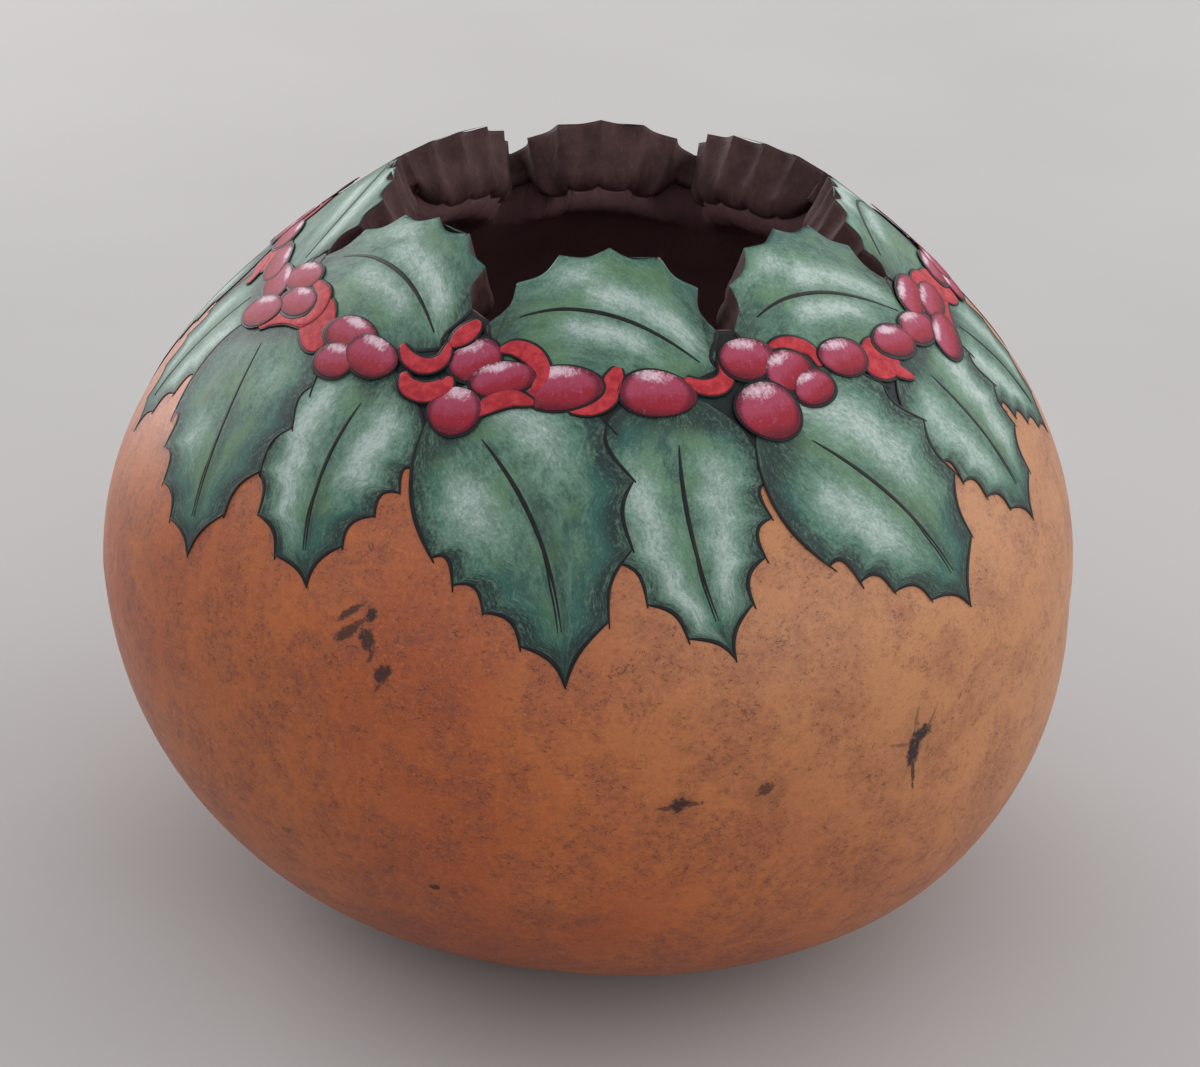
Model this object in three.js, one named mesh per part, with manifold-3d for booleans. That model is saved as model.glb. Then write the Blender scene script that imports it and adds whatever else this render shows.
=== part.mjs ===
// A dried bottle gourd cut open at the shoulder and painted with a holly garland.
// Millimetres, +Z up, origin on the resting surface under the widest ring.
// Azimuth is in degrees from the front, -Y, turning towards +X.
// Arc is the distance in millimetres along the skin above the widest ring.

import * as THREE from 'three';
import { mergeVertices } from 'three/addons/utils/BufferGeometryUtils.js';
import Module from 'manifold-3d';

const wasm = await Module();
wasm.setup();

// Body of the gourd
const bodyRadius = 120;
const crownDepth = 134;
const crownSquareness = 2.2;
const crownFullness = 1.32;
const bellyDepth = 89.5;
const bellySquareness = 2.29;
const bellyFullness = 0.37;
const footRadius = 38;
const wallThickness = 12.5;
const leanAtFoot = 6;
const leanAtRim = 3;

// Cut rim: eight holly leaves that lie along the edge of the mouth, between notches.
// Their ends are given from mouthArc, upwards, and each peak from the leaf's own ends.
const mouthArc = 102;
const rimLeafSpans = [
  { from: -22, to: 20.5, startLift: -0.5, endLift: 0.5, height: 22.5 },
  { from: 24.5, to: 69.5, startLift: 0, endLift: -0.5, height: 23.5 },
  { from: 71.5, to: 110.5, startLift: -0.5, endLift: 14, height: 13 },
  { from: 113.5, to: 160.5, startLift: 14, endLift: -4, height: 15 },
  { from: 163, to: 201, startLift: -4, endLift: -7, height: 22 },
  { from: 203.5, to: 245, startLift: -7, endLift: 13, height: 15 },
  { from: 248, to: 286.5, startLift: 13, endLift: -0.5, height: 13 },
  { from: 288.5, to: 333, startLift: -2, endLift: 2, height: 21 },
];
const rimLeafLeftSquareness = 2.1;
const rimLeafRightSquareness = 2.7;
const rimScallops = 6;
const rimScallopDepth = 2.4;
const cutCentreBelowWidest = 10;

// Berries: a garland under the notches, with a cluster at each and a chain to the next
const garlandDrop = 14;
const rimLeafAboveGarland = 4.5;
const clusterBerries = [
  { right: 1, up: -8, radius: 6 },
  { right: 1, up: 6, radius: 5 },
  { right: 8, up: 1, radius: 5.2 },
];
const chainStart = 15;
const chainPitch = 8;
const chainBerryRadius = 4.8;
const chainWave = 0.8;

// Hanging leaves: azimuths of root and tip, how far the root lies below the garland and the tip
// below the root, how far the midrib bows to the right and half the width
const frontLeaves = [
  { root: -78, tip: -80, rootDrop: 0, length: 51, bow: -3, halfWidth: 15 },
  { root: -67, tip: -52, rootDrop: 2, length: 57, bow: 1, halfWidth: 20 },
  { root: -35, tip: -33, rootDrop: 2, length: 52, bow: -5, halfWidth: 17 },
  { root: -24, tip: -2, rootDrop: 6, length: 59, bow: 8, halfWidth: 23 },
  { root: 12, tip: 16, rootDrop: 1, length: 59, bow: -5, halfWidth: 19 },
  { root: 24, tip: 47.5, rootDrop: 7, length: 54, bow: 5, halfWidth: 22 },
  { root: 59, tip: 65, rootDrop: 1, length: 51, bow: 2, halfWidth: 17 },
  { root: 76, tip: 86, rootDrop: 1, length: 45, bow: 3, halfWidth: 19 },
];
const backLeafPairs = 4;
const backStartAzimuth = 103;
const backPairPitch = 44.5;
const backNarrowLead = 23;
const backWideLeaf = { turn: 14, rootDrop: 5, length: 55, bow: 5, halfWidth: 21 };
const backNarrowLeaf = { turn: 3, rootDrop: 2, length: 52, bow: -4, halfWidth: 16 };
const leafWidestEarly = 0.7;
const leafRoundness = 0.85;
const leafSpines = 5;
const leafScallopDepth = 2.6;
const leafSpineForward = 2.6;

// Paint coats lie side by side or over each other, each held clear of what it covers
const coatThickness = 0.3;
const coatClearance = 0.3;
const coatStep = coatThickness + coatClearance;

// How finely the curved surfaces are divided
const turnSegments = 48;
const outerRings = 12;
const innerRings = 8;
const pointsPerScallop = 3;

const radians = THREE.MathUtils.degToRad;
const widestHeight =
  bellyDepth * (1 - (footRadius / bodyRadius) ** (1 / bellyFullness)) ** (1 / bellySquareness);

function outerRadius(height) {
  const rise = height - widestHeight;
  if (rise > 0) {
    return bodyRadius * (1 - Math.min(rise / crownDepth, 1) ** crownSquareness) ** crownFullness;
  }
  return bodyRadius * (1 - (-rise / bellyDepth) ** bellySquareness) ** bellyFullness;
}

// The gourd is a little lopsided: its foot and its rim sit to the right of its widest ring
function leanAt(height) {
  const rise = height - widestHeight;
  return rise > 0 ? (leanAtRim * rise) / crownDepth : (-leanAtFoot * rise) / widestHeight;
}

// The outer profile as evenly sampled heights, with the arc at each
const profileSamples = 1500;
const profileReach = 0.93;
const profileTop = widestHeight + profileReach * crownDepth;
const profile = [];
for (let i = 0; i <= profileSamples; i++) {
  const height = (profileTop * i) / profileSamples;
  const radius = outerRadius(height);
  const last = profile[i - 1];
  const arc = last ? last.arc + Math.hypot(height - last.height, radius - last.radius) : 0;
  profile.push({ height, radius, arc });
}
const widestArc = profile.reduce((best, p) => (p.radius > best.radius ? p : best)).arc;
profile.forEach((p) => {
  p.arc -= widestArc;
});
const footArc = profile[0].arc;

function profileAt(arc) {
  let low = 0;
  let high = profileSamples;
  while (high - low > 1) {
    const middle = (low + high) >> 1;
    if (profile[middle].arc <= arc) low = middle;
    else high = middle;
  }
  const a = profile[low];
  const b = profile[high];
  const share = (arc - a.arc) / (b.arc - a.arc);
  const length = Math.hypot(b.height - a.height, b.radius - a.radius);
  return {
    radius: a.radius + share * (b.radius - a.radius),
    height: a.height + share * (b.height - a.height),
    normalOut: (b.height - a.height) / length,
    normalUp: (a.radius - b.radius) / length,
  };
}

function offsetProfile(arc, lift) {
  const p = profileAt(arc);
  return new THREE.Vector2(p.radius + lift * p.normalOut, p.height + lift * p.normalUp);
}

function skinPoint(azimuth, arc, lift) {
  const p = offsetProfile(arc, lift);
  const angle = radians(azimuth);
  return new THREE.Vector3(p.x * Math.sin(angle) + leanAt(p.y), -p.x * Math.cos(angle), p.y);
}

// A closed solid from points and triangles, with doubled points merged and flat triangles dropped
function closedGeometry(points, triangles) {
  let geometry = new THREE.BufferGeometry();
  const places = new Float32Array(points.flatMap((p) => [p.x, p.y, p.z]));
  geometry.setAttribute('position', new THREE.BufferAttribute(places, 3));
  geometry.setIndex(triangles.flat());
  geometry = mergeVertices(geometry, 1e-4);
  const index = geometry.index.array;
  const kept = [];
  for (let i = 0; i < index.length; i += 3) {
    const [a, b, c] = index.slice(i, i + 3);
    if (a !== b && b !== c && c !== a) kept.push(a, b, c);
  }
  geometry.setIndex(kept);
  return geometry;
}

function manifoldOf(geometry) {
  return new wasm.Manifold(
    new wasm.Mesh({
      numProp: 3,
      vertProperties: geometry.getAttribute('position').array,
      triVerts: new Uint32Array(geometry.index.array),
    })
  );
}

function geometryOf(solid) {
  const mesh = solid.getMesh();
  const geometry = new THREE.BufferGeometry();
  geometry.setAttribute('position', new THREE.BufferAttribute(mesh.vertProperties, 3));
  geometry.setIndex(new THREE.BufferAttribute(mesh.triVerts, 1));
  return geometry;
}

// How far a rim leaf reaches above the notches: its ends slope, and its top is level
function rimLeafLift(leaf, across, rise) {
  const base = THREE.MathUtils.lerp(leaf.startLift, leaf.endLift, (across + 1) / 2);
  const top = (leaf.startLift + leaf.endLift) / 2 + leaf.height;
  return THREE.MathUtils.lerp(base, top, rise);
}

// The smooth outline of a rim leaf before its spines are cut, as azimuth and arc from left to right
function rimLeafEnvelope(leaf) {
  const samples = 160;
  const middle = (leaf.from + leaf.to) / 2;
  const points = [];
  for (let i = 0; i <= samples; i++) {
    const turn = Math.PI * (1 - i / samples);
    const power = 2 / (i < samples / 2 ? rimLeafLeftSquareness : rimLeafRightSquareness);
    const across = Math.sign(Math.cos(turn)) * Math.abs(Math.cos(turn)) ** power;
    const rise = Math.abs(Math.sin(turn)) ** power;
    const azimuth = middle + ((leaf.to - leaf.from) / 2) * across;
    points.push(new THREE.Vector2(azimuth, mouthArc + rimLeafLift(leaf, across, rise)));
  }
  return points;
}

// The step from one place on the skin to another, in millimetres
function stepBetween(a, b) {
  const turn = THREE.MathUtils.euclideanModulo(b.x - a.x + 180, 360) - 180;
  return new THREE.Vector2(radians(turn) * profileAt(a.y).radius, b.y - a.y);
}

function movedBy(place, step) {
  const turn = THREE.MathUtils.radToDeg(step.x / profileAt(place.y).radius);
  return new THREE.Vector2(place.x + turn, place.y + step.y);
}

// The spiny outline of a rim leaf along the cut, with its spines evenly spaced along the envelope
function rimLeafEdge(leaf) {
  const envelope = rimLeafEnvelope(leaf);
  const lengths = [0];
  for (let i = 1; i < envelope.length; i++) {
    lengths.push(lengths[i - 1] + stepBetween(envelope[i - 1], envelope[i]).length());
  }
  const steps = rimScallops * pointsPerScallop;
  const edge = [];
  for (let i = 0; i <= steps; i++) {
    const wanted = (lengths.at(-1) * i) / steps;
    const next = Math.max(1, lengths.findIndex((length) => length >= wanted - 1e-9));
    const share = (wanted - lengths[next - 1]) / (lengths[next] - lengths[next - 1]);
    const place = envelope[next - 1].clone().lerp(envelope[next], share);
    const along = stepBetween(envelope[next - 1], envelope[next]).normalize();
    const dip = rimScallopDepth * Math.abs(Math.sin((Math.PI * i) / pointsPerScallop));
    edge.push(movedBy(place, new THREE.Vector2(dip * along.y, -dip * along.x)));
  }
  return edge;
}

// The whole outline of the mouth, moved towards the opening by an inset
function mouthOutline(inset) {
  const outline = rimLeafSpans.flatMap(rimLeafEdge);
  const count = outline.length;
  return outline.map((place, i) => {
    const before = outline[(i + count - 1) % count];
    const after = outline[(i + 1) % count];
    const along = stepBetween(before, after).normalize();
    return movedBy(place, new THREE.Vector2(-inset * along.y, inset * along.x));
  });
}

// The cutter is ruled from a centre inside the gourd, so that the cut face is square to the skin
function mouthCutter(inset) {
  const cutterStart = 0.6;
  const cutterEnd = 1.45;
  const centre = new THREE.Vector3(0, 0, widestHeight - cutCentreBelowWidest);
  const rim = mouthOutline(inset).map((p) => skinPoint(p.x, p.y, 0).sub(centre));
  const flat = rim.map((p) => new THREE.Vector2(p.x / p.z, p.y / p.z));
  const lid = THREE.ShapeUtils.triangulateShape(flat, []);
  const count = rim.length;
  const points = [
    ...rim.map((p) => p.clone().multiplyScalar(cutterStart).add(centre)),
    ...rim.map((p) => p.clone().multiplyScalar(cutterEnd).add(centre)),
  ];
  const triangles = [];
  lid.forEach(([a, b, c]) => {
    triangles.push([c, b, a], [a + count, b + count, c + count]);
  });
  for (let i = 0; i < count; i++) {
    const next = (i + 1) % count;
    triangles.push([i, next, next + count], [i, next + count, i + count]);
  }
  return manifoldOf(closedGeometry(points, triangles));
}

// A bowl between the skin, lifted by an amount, and the inside of a wall, cut open at the mouth
function bowl(skinLift, wall, mouthInset) {
  const clearOfRim = 6;
  const lifts = rimLeafSpans.map((leaf) => rimLeafLift(leaf, 0, 1));
  const topArc = mouthArc + Math.max(...lifts) + clearOfRim;
  const section = [new THREE.Vector2(0, -skinLift)];
  section.push(new THREE.Vector2(footRadius + skinLift, -skinLift));
  for (let i = 1; i <= outerRings; i++) {
    section.push(offsetProfile(footArc + ((topArc - footArc) * i) / outerRings, skinLift));
  }
  for (let i = innerRings; i >= 0; i--) {
    section.push(offsetProfile(footArc + ((topArc - footArc) * i) / innerRings, -wall));
  }
  section.push(new THREE.Vector2(0, section.at(-1).y));
  const turned = new THREE.LatheGeometry(section, turnSegments).rotateX(Math.PI / 2);
  const position = turned.getAttribute('position');
  const points = [];
  for (let i = 0; i < position.count; i++) {
    const p = new THREE.Vector3().fromBufferAttribute(position, i);
    p.x += leanAt(p.z);
    points.push(p);
  }
  const index = turned.index.array;
  const triangles = [];
  for (let i = 0; i < index.length; i += 3) {
    triangles.push([index[i], index[i + 1], index[i + 2]]);
  }
  return manifoldOf(closedGeometry(points, triangles)).subtract(mouthCutter(mouthInset));
}

// A thin coat on the skin: place(along, across) gives azimuth and arc for shares from 0 to 1
function coatGeometry(place, columns, rows, lift) {
  const points = [];
  for (const height of [lift, lift + coatThickness]) {
    for (let i = 0; i <= columns; i++) {
      for (let j = 0; j <= rows; j++) {
        const p = place(i / columns, j / rows);
        points.push(skinPoint(p.x, p.y, height));
      }
    }
  }
  const top = (columns + 1) * (rows + 1);
  const at = (i, j) => i * (rows + 1) + j;
  const triangles = [];
  const wall = (a, b) => triangles.push([a, b, b + top], [a, b + top, a + top]);
  for (let i = 0; i < columns; i++) {
    for (let j = 0; j < rows; j++) {
      const [a, b, c, d] = [at(i, j), at(i + 1, j), at(i + 1, j + 1), at(i, j + 1)];
      triangles.push([a + top, b + top, c + top], [a + top, c + top, d + top]);
      triangles.push([c, b, a], [d, c, a]);
    }
    wall(at(i, 0), at(i + 1, 0));
    wall(at(i + 1, rows), at(i, rows));
  }
  for (let j = 0; j < rows; j++) {
    wall(at(columns, j), at(columns, j + 1));
    wall(at(0, j + 1), at(0, j));
  }
  return closedGeometry(points, triangles);
}

// The arc of the garland's middle line: it hangs from the notches, or from the mouth where they are higher
function garlandArc(azimuth) {
  const first = rimLeafSpans[0].from;
  const turned = first + THREE.MathUtils.euclideanModulo(azimuth - first, 360);
  const i = rimLeafSpans.findLastIndex((leaf) => leaf.from <= turned);
  const here = rimLeafSpans[i];
  const next = rimLeafSpans[(i + 1) % rimLeafSpans.length];
  const share = (turned - here.from) / spanAfter(i);
  const lift = THREE.MathUtils.lerp(Math.min(here.startLift, 0), Math.min(next.startLift, 0), share);
  return mouthArc + lift - garlandDrop;
}

// Degrees from the start of one rim leaf to the start of the next
function spanAfter(i) {
  const next = rimLeafSpans[(i + 1) % rimLeafSpans.length];
  return THREE.MathUtils.euclideanModulo(next.from - rimLeafSpans[i].from, 360);
}

// Paint on a rim leaf: from the garland up to the cut, which it stops just short of
function rimLeafCoat(leaf) {
  const edgeMargin = 0.6;
  const rows = 2;
  const edge = rimLeafEdge(leaf);
  const columns = edge.length - 1;
  const place = (along, across) => {
    const upper = edge[Math.round(along * columns)];
    const bow = Math.sin(Math.PI * along) ** 0.7;
    const base = mouthArc + THREE.MathUtils.lerp(leaf.startLift, leaf.endLift, along);
    const lowest = garlandArc(upper.x) + rimLeafAboveGarland;
    const lower = THREE.MathUtils.lerp(Math.min(base, upper.y) - edgeMargin, lowest, bow);
    return new THREE.Vector2(upper.x, THREE.MathUtils.lerp(lower, upper.y - edgeMargin, across));
  };
  return coatGeometry(place, columns, rows, coatClearance);
}

// Paint on a hanging leaf: a bowed midrib with a spiny edge on both sides
function hangingLeafCoat(leaf, layer) {
  const columnsPerSpine = 2;
  const rows = 3;
  const middle = (leaf.root + leaf.tip) / 2;
  const toPlane = (azimuth, arc) =>
    new THREE.Vector2(radians(azimuth - middle) * profileAt(arc).radius, arc);
  const rootArc = garlandArc(leaf.root) - leaf.rootDrop;
  const start = toPlane(leaf.root, rootArc);
  const end = toPlane(leaf.tip, rootArc - leaf.length);
  const sideways = end.clone().sub(start).normalize().rotateAround(new THREE.Vector2(), Math.PI / 2);
  const bend = start.clone().lerp(end, 0.5).addScaledVector(sideways, 2 * leaf.bow);
  const midrib = new THREE.QuadraticBezierCurve(start, bend, end);
  const place = (along, across) => {
    const fullness = Math.sin(Math.PI * along ** leafWidestEarly) ** leafRoundness;
    const spine = 1 - Math.abs(Math.sin(Math.PI * leafSpines * along));
    const side = 2 * across - 1;
    const dip = leafScallopDepth * (1 - spine) * fullness;
    const reach = leaf.halfWidth * fullness - dip;
    const tangent = midrib.getTangent(along);
    const point = midrib.getPoint(along);
    point.x -= side * reach * tangent.y;
    point.y += side * reach * tangent.x;
    point.addScaledVector(tangent, leafSpineForward * spine * fullness * side * side);
    const azimuth = middle + THREE.MathUtils.radToDeg(point.x / profileAt(point.y).radius);
    return new THREE.Vector2(azimuth, point.y);
  };
  const lift = coatClearance + layer * coatStep;
  return coatGeometry(place, leafSpines * columnsPerSpine, rows, lift);
}

// Paint on a spray of berries: one coat inside the joined outline of its cluster and its chain
function berrySprayCoat(i) {
  const endMargin = 0.25;
  const columns = 26;
  const rows = 1;
  const notch = rimLeafSpans[i].from;
  const perDegree = radians(1) * profileAt(garlandArc(notch)).radius;
  const leftEnd = Math.min(...clusterBerries.map((berry) => berry.right - berry.radius));
  const room = spanAfter(i) * perDegree + leftEnd - coatStep - chainStart - chainBerryRadius;
  const berries = [...clusterBerries];
  for (let k = 0; k * chainPitch < room; k++) {
    const up = chainWave * (k % 2 === 0 ? 1 : -1);
    berries.push({ right: chainStart + k * chainPitch, up, radius: chainBerryRadius });
  }
  const rightEnd = Math.max(...berries.map((berry) => berry.right + berry.radius));
  const place = (along, across) => {
    const right = THREE.MathUtils.lerp(leftEnd + endMargin, rightEnd - endMargin, along);
    const covering = berries.filter((berry) => Math.abs(right - berry.right) < berry.radius);
    const reach = (berry) => Math.sqrt(berry.radius ** 2 - (right - berry.right) ** 2);
    const low = Math.min(...covering.map((berry) => berry.up - reach(berry)));
    const high = Math.max(...covering.map((berry) => berry.up + reach(berry)));
    const azimuth = notch + right / perDegree;
    return new THREE.Vector2(azimuth, garlandArc(azimuth) + THREE.MathUtils.lerp(low, high, across));
  };
  return coatGeometry(place, columns, rows, coatClearance + 2 * coatStep);
}

const skin = new THREE.MeshStandardMaterial({ color: 0xc07a3c, roughness: 0.45, metalness: 0 });
const darkPaint = new THREE.MeshStandardMaterial({ color: 0x4a3432, roughness: 0.75, metalness: 0 });
const leafPaint = new THREE.MeshStandardMaterial({ color: 0x4f8a6c, roughness: 0.5, metalness: 0 });
const berryPaint = new THREE.MeshStandardMaterial({ color: 0xc2405c, roughness: 0.45, metalness: 0 });

const group = new THREE.Group();

function add(name, geometry, material) {
  const mesh = new THREE.Mesh(geometry, material);
  mesh.name = name;
  group.add(mesh);
}

function addGourdShell() {
  add('gourd_shell', geometryOf(bowl(0, wallThickness, 0)), skin);
}

function addInnerCoat() {
  const outside = 1;
  const coat = bowl(0, wallThickness + coatStep, coatStep);
  const behind = bowl(outside, wallThickness + coatClearance, coatClearance);
  add('inner_coat', geometryOf(coat.subtract(behind)), darkPaint);
}

function addRimLeaves() {
  rimLeafSpans.forEach((leaf, i) => {
    add(`rim_leaf_${i + 1}`, rimLeafCoat(leaf), leafPaint);
  });
}

function addHangingLeaves() {
  const leaves = [...frontLeaves];
  for (let i = 0; i < backLeafPairs; i++) {
    const azimuth = backStartAzimuth + i * backPairPitch;
    const narrow = azimuth + backNarrowLead;
    leaves.push({ ...backWideLeaf, root: azimuth, tip: azimuth + backWideLeaf.turn });
    leaves.push({ ...backNarrowLeaf, root: narrow, tip: narrow + backNarrowLeaf.turn });
  }
  leaves.forEach((leaf, i) => {
    add(`hanging_leaf_${i + 1}`, hangingLeafCoat(leaf, i % 2), leafPaint);
  });
}

function addBerries() {
  for (let i = 0; i < rimLeafSpans.length; i++) {
    add(`berry_spray_${i + 1}`, berrySprayCoat(i), berryPaint);
  }
}

addGourdShell();
addInnerCoat();
addRimLeaves();
addHangingLeaves();
addBerries();

export default group;
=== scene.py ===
"""A dried gourd cut open along a ring of holly leaves and painted with a garland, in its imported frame.

Lengths are millimetres until a mesh is made. Azimuth is in degrees from the front, -Y, towards +X.
Arc is the distance along the skin above the widest ring.
"""

import math
import bpy
import numpy as np
from mathutils import Matrix, Vector


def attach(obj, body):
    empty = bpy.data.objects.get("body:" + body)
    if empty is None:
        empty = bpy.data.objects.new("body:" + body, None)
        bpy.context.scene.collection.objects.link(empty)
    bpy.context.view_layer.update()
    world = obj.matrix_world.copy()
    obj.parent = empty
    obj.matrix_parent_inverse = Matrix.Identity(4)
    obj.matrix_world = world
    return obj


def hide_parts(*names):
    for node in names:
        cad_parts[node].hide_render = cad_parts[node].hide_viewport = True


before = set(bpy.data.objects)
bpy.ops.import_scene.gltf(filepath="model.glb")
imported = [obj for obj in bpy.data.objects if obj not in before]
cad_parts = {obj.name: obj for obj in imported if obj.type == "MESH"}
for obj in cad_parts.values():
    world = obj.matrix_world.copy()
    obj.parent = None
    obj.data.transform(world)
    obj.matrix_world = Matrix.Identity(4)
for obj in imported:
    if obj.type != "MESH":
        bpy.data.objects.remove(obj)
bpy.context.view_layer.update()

# Metres in a millimetre
MM = 0.001

# Body of the gourd
BODY_RADIUS = 120
CROWN_DEPTH = 134
CROWN_SQUARENESS = 2.2
CROWN_FULLNESS = 1.32
BELLY_DEPTH = 89.5
BELLY_SQUARENESS = 2.29
BELLY_FULLNESS = 0.37
FOOT_RADIUS = 38
WALL = 12.5
LEAN_AT_FOOT = 6
LEAN_AT_RIM = 3
CUT_CENTRE_BELOW_WIDEST = 10
WIDEST_HEIGHT = BELLY_DEPTH * (
    1 - (FOOT_RADIUS / BODY_RADIUS) ** (1 / BELLY_FULLNESS)
) ** (1 / BELLY_SQUARENESS)


def named(columns, rows):
    """A dictionary for each row, with the columns' names as its keys."""
    return [dict(zip(columns.split(), row)) for row in rows]


# Cut rim: eight leaves along the mouth, with their ends in degrees and heights above MOUTH_ARC
MOUTH_ARC = 102
RIM_LEAVES = named("start end start_lift end_lift height", [
    (-22, 20.5, -0.5, 0.5, 22.5),
    (24.5, 69.5, 0, -0.5, 23.5),
    (71.5, 110.5, -0.5, 14, 13),
    (113.5, 160.5, 14, -4, 15),
    (163, 201, -4, -7, 22),
    (203.5, 245, -7, 13, 15),
    (248, 286.5, 13, -0.5, 13),
    (288.5, 333, -2, 2, 21),
])
for leaf, follow in zip(RIM_LEAVES, RIM_LEAVES[1:] + RIM_LEAVES[:1]):
    leaf["pitch"] = (follow["start"] - leaf["start"]) % 360
    leaf["next_lift"] = follow["start_lift"]
RIM_SQUARENESS = (2.1, 2.7)
RIM_SCALLOPS = 6
RIM_SCALLOP_DEPTH = 2.4
GARLAND_DROP = 14

# Hanging leaves: root and tip azimuth, root below the garland, length, bow, half width and layer
# "pale" gives the shares along the leaf where its left and its right half are pale
LEAF_VALUES = "root tip drop length bow half layer pale"
FRONT_LEAVES = named(LEAF_VALUES, [
    (-78, -80, 0, 51, -3, 16, 0, ((0.1, 0.9), (0.1, 0.9))),
    (-67, -52, 2, 57, 1, 23.5, 1, ((0.35, 0.75), (0.15, 0.5))),
    (-35, -33, 2, 52, -5.5, 21.5, 0, ((0.05, 0.95), (0.0, 0.75))),
    (-24, -2, 6, 59, 8, 23, 1, ((0.1, 0.66), (-0.15, 0.55))),
    (12, 16, 1, 59, -5, 19.5, 0, ((0.15, 1.05), (0.1, 1.0))),
    (24, 47.5, 7, 54, 5, 24, 2, ((0.12, 0.85), (-0.1, 0.75))),
    (57.5, 65, 1, 51, 2, 21, 1, ((0.05, 0.9), (0.1, 0.9))),
    (76, 86, 1, 45, 3, 19.5, 0, ((0.05, 0.9), (0.1, 0.9))),
])
# At the back a wide and a narrow leaf repeat, and their azimuths count from the start of each pair
BACK_PAIR = named(LEAF_VALUES, [
    (0, 14, 5, 55, 5, 21, 0, ((0.1, 0.85), (0.05, 0.6))),
    (23, 26, 2, 52, -4, 16, 1, ((0.2, 0.9), (0.1, 0.8))),
])
BACK_PAIRS = 4
BACK_START = 103
BACK_PITCH = 44.5
LEAF_WIDEST_EARLY = 0.7
LEAF_ROUNDNESS_ABOVE = 0.62
LEAF_ROUNDNESS_BELOW = 0.85
# Shares along a leaf at which its spines stand, on its left and on its right
SPINE_SHARES = {-1: (0, 0.4, 0.55, 0.7, 0.85, 1), 1: (0, 0.32, 0.49, 0.66, 0.83, 1)}
LEAF_SCALLOP_DEPTH = 2.1
LEAF_SPINE_FORWARD = 2.2


def outer_radius(height):
    rise = height - WIDEST_HEIGHT
    up = np.clip(rise / CROWN_DEPTH, 0, 1)
    down = np.clip(-rise / BELLY_DEPTH, 0, 1)
    crown = (1 - up**CROWN_SQUARENESS) ** CROWN_FULLNESS
    belly = (1 - down**BELLY_SQUARENESS) ** BELLY_FULLNESS
    return BODY_RADIUS * np.where(rise > 0, crown, belly)


def lean_at(height):
    rise = height - WIDEST_HEIGHT
    return np.where(rise > 0, LEAN_AT_RIM * rise / CROWN_DEPTH, -LEAN_AT_FOOT * rise / WIDEST_HEIGHT)


# The profile is sampled up to this share of the crown, which is well above the rim
PROFILE_TOP = 0.93
PROFILE_SAMPLES = 1501
profile_z = np.linspace(0, WIDEST_HEIGHT + PROFILE_TOP * CROWN_DEPTH, PROFILE_SAMPLES)
profile_r = outer_radius(profile_z)
profile_arc = np.concatenate([[0], np.cumsum(np.hypot(np.diff(profile_z), np.diff(profile_r)))])
profile_arc = profile_arc - profile_arc[np.argmax(profile_r)]
profile_out = np.gradient(profile_z, profile_arc)
profile_up = -np.gradient(profile_r, profile_arc)
FOOT_ARC = profile_arc[0]


def radius_at(arc):
    return np.interp(arc, profile_arc, profile_r)


# Lumps of the skin: height, waves round the gourd, their start in radians and the arc that turns them by one
SKIN_LUMPS = [(0.3, 3, 0.6, 60), (0.22, 5, 2.1, -34), (0.14, 8, 4, 21)]
LUMPS_FULL_ABOVE_FOOT = 25


def swell(azimuth, arc):
    """The gentle lumps of a grown shell, in millimetres outwards."""
    turn = np.radians(azimuth)
    total = 0
    for height, waves, start, reach in SKIN_LUMPS:
        total = total + height * np.sin(waves * turn + start + arc / reach)
    return np.clip((arc - FOOT_ARC) / LUMPS_FULL_ABOVE_FOOT, 0, 1) * total


def skin(azimuth, arc, lift=0.0):
    """Points on the skin, lifted outwards, in millimetres."""
    azimuth, arc, lift = np.broadcast_arrays(azimuth, arc, lift)
    lift = lift + swell(azimuth, arc)
    out = np.interp(arc, profile_arc, profile_out)
    up = np.interp(arc, profile_arc, profile_up)
    radius = radius_at(arc) + lift * out
    height = np.interp(arc, profile_arc, profile_z) + lift * up
    turn = np.radians(azimuth)
    x = radius * np.sin(turn) + lean_at(height)
    return np.stack([x, -radius * np.cos(turn), height], -1)


def inner_arc_table():
    """For each arc outside, the arc inside that lies on the same ray from the cut's centre."""
    centre = WIDEST_HEIGHT - CUT_CENTRE_BELOW_WIDEST
    inner_r = profile_r - WALL * profile_out
    inner_z = profile_z - WALL * profile_up
    outer_angle = np.arctan2(profile_z - centre, profile_r)
    inner_angle = np.arctan2(inner_z - centre, np.maximum(inner_r, 0.1))
    return np.interp(outer_angle, np.maximum.accumulate(inner_angle), profile_arc)


inner_of_outer = inner_arc_table()


def through_wall(azimuth, arc, share, extra=0.0):
    """Points on the rays through the wall: share 0 is the skin and 1 the inside."""
    inner = np.interp(arc, profile_arc, inner_of_outer)
    return skin(azimuth, arc) * (1 - share) + skin(azimuth, inner, -WALL - extra) * share


def ease(share):
    return share * share * (3 - 2 * share)


NOISE_GRID = 64


def value_noise(x, y, seed):
    """Smooth noise from -1 to 1 over two coordinates."""
    grid = np.random.default_rng(seed).uniform(-1, 1, (NOISE_GRID, NOISE_GRID))
    x0 = np.floor(x).astype(int)
    y0 = np.floor(y).astype(int)
    fx = ease(x - x0)
    fy = ease(y - y0)
    left, right = x0 % NOISE_GRID, (x0 + 1) % NOISE_GRID
    low, high = y0 % NOISE_GRID, (y0 + 1) % NOISE_GRID
    below = grid[left, low] * (1 - fx) + grid[right, low] * fx
    above = grid[left, high] * (1 - fx) + grid[right, high] * fx
    return below * (1 - fy) + above * fy


def lumps(table, x, y):
    """Noise of several sizes: each row of the table has its height, its size along x and y, and its seed."""
    return sum(height * value_noise(x / wide, y / tall, seed) for height, wide, tall, seed in table)


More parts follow.
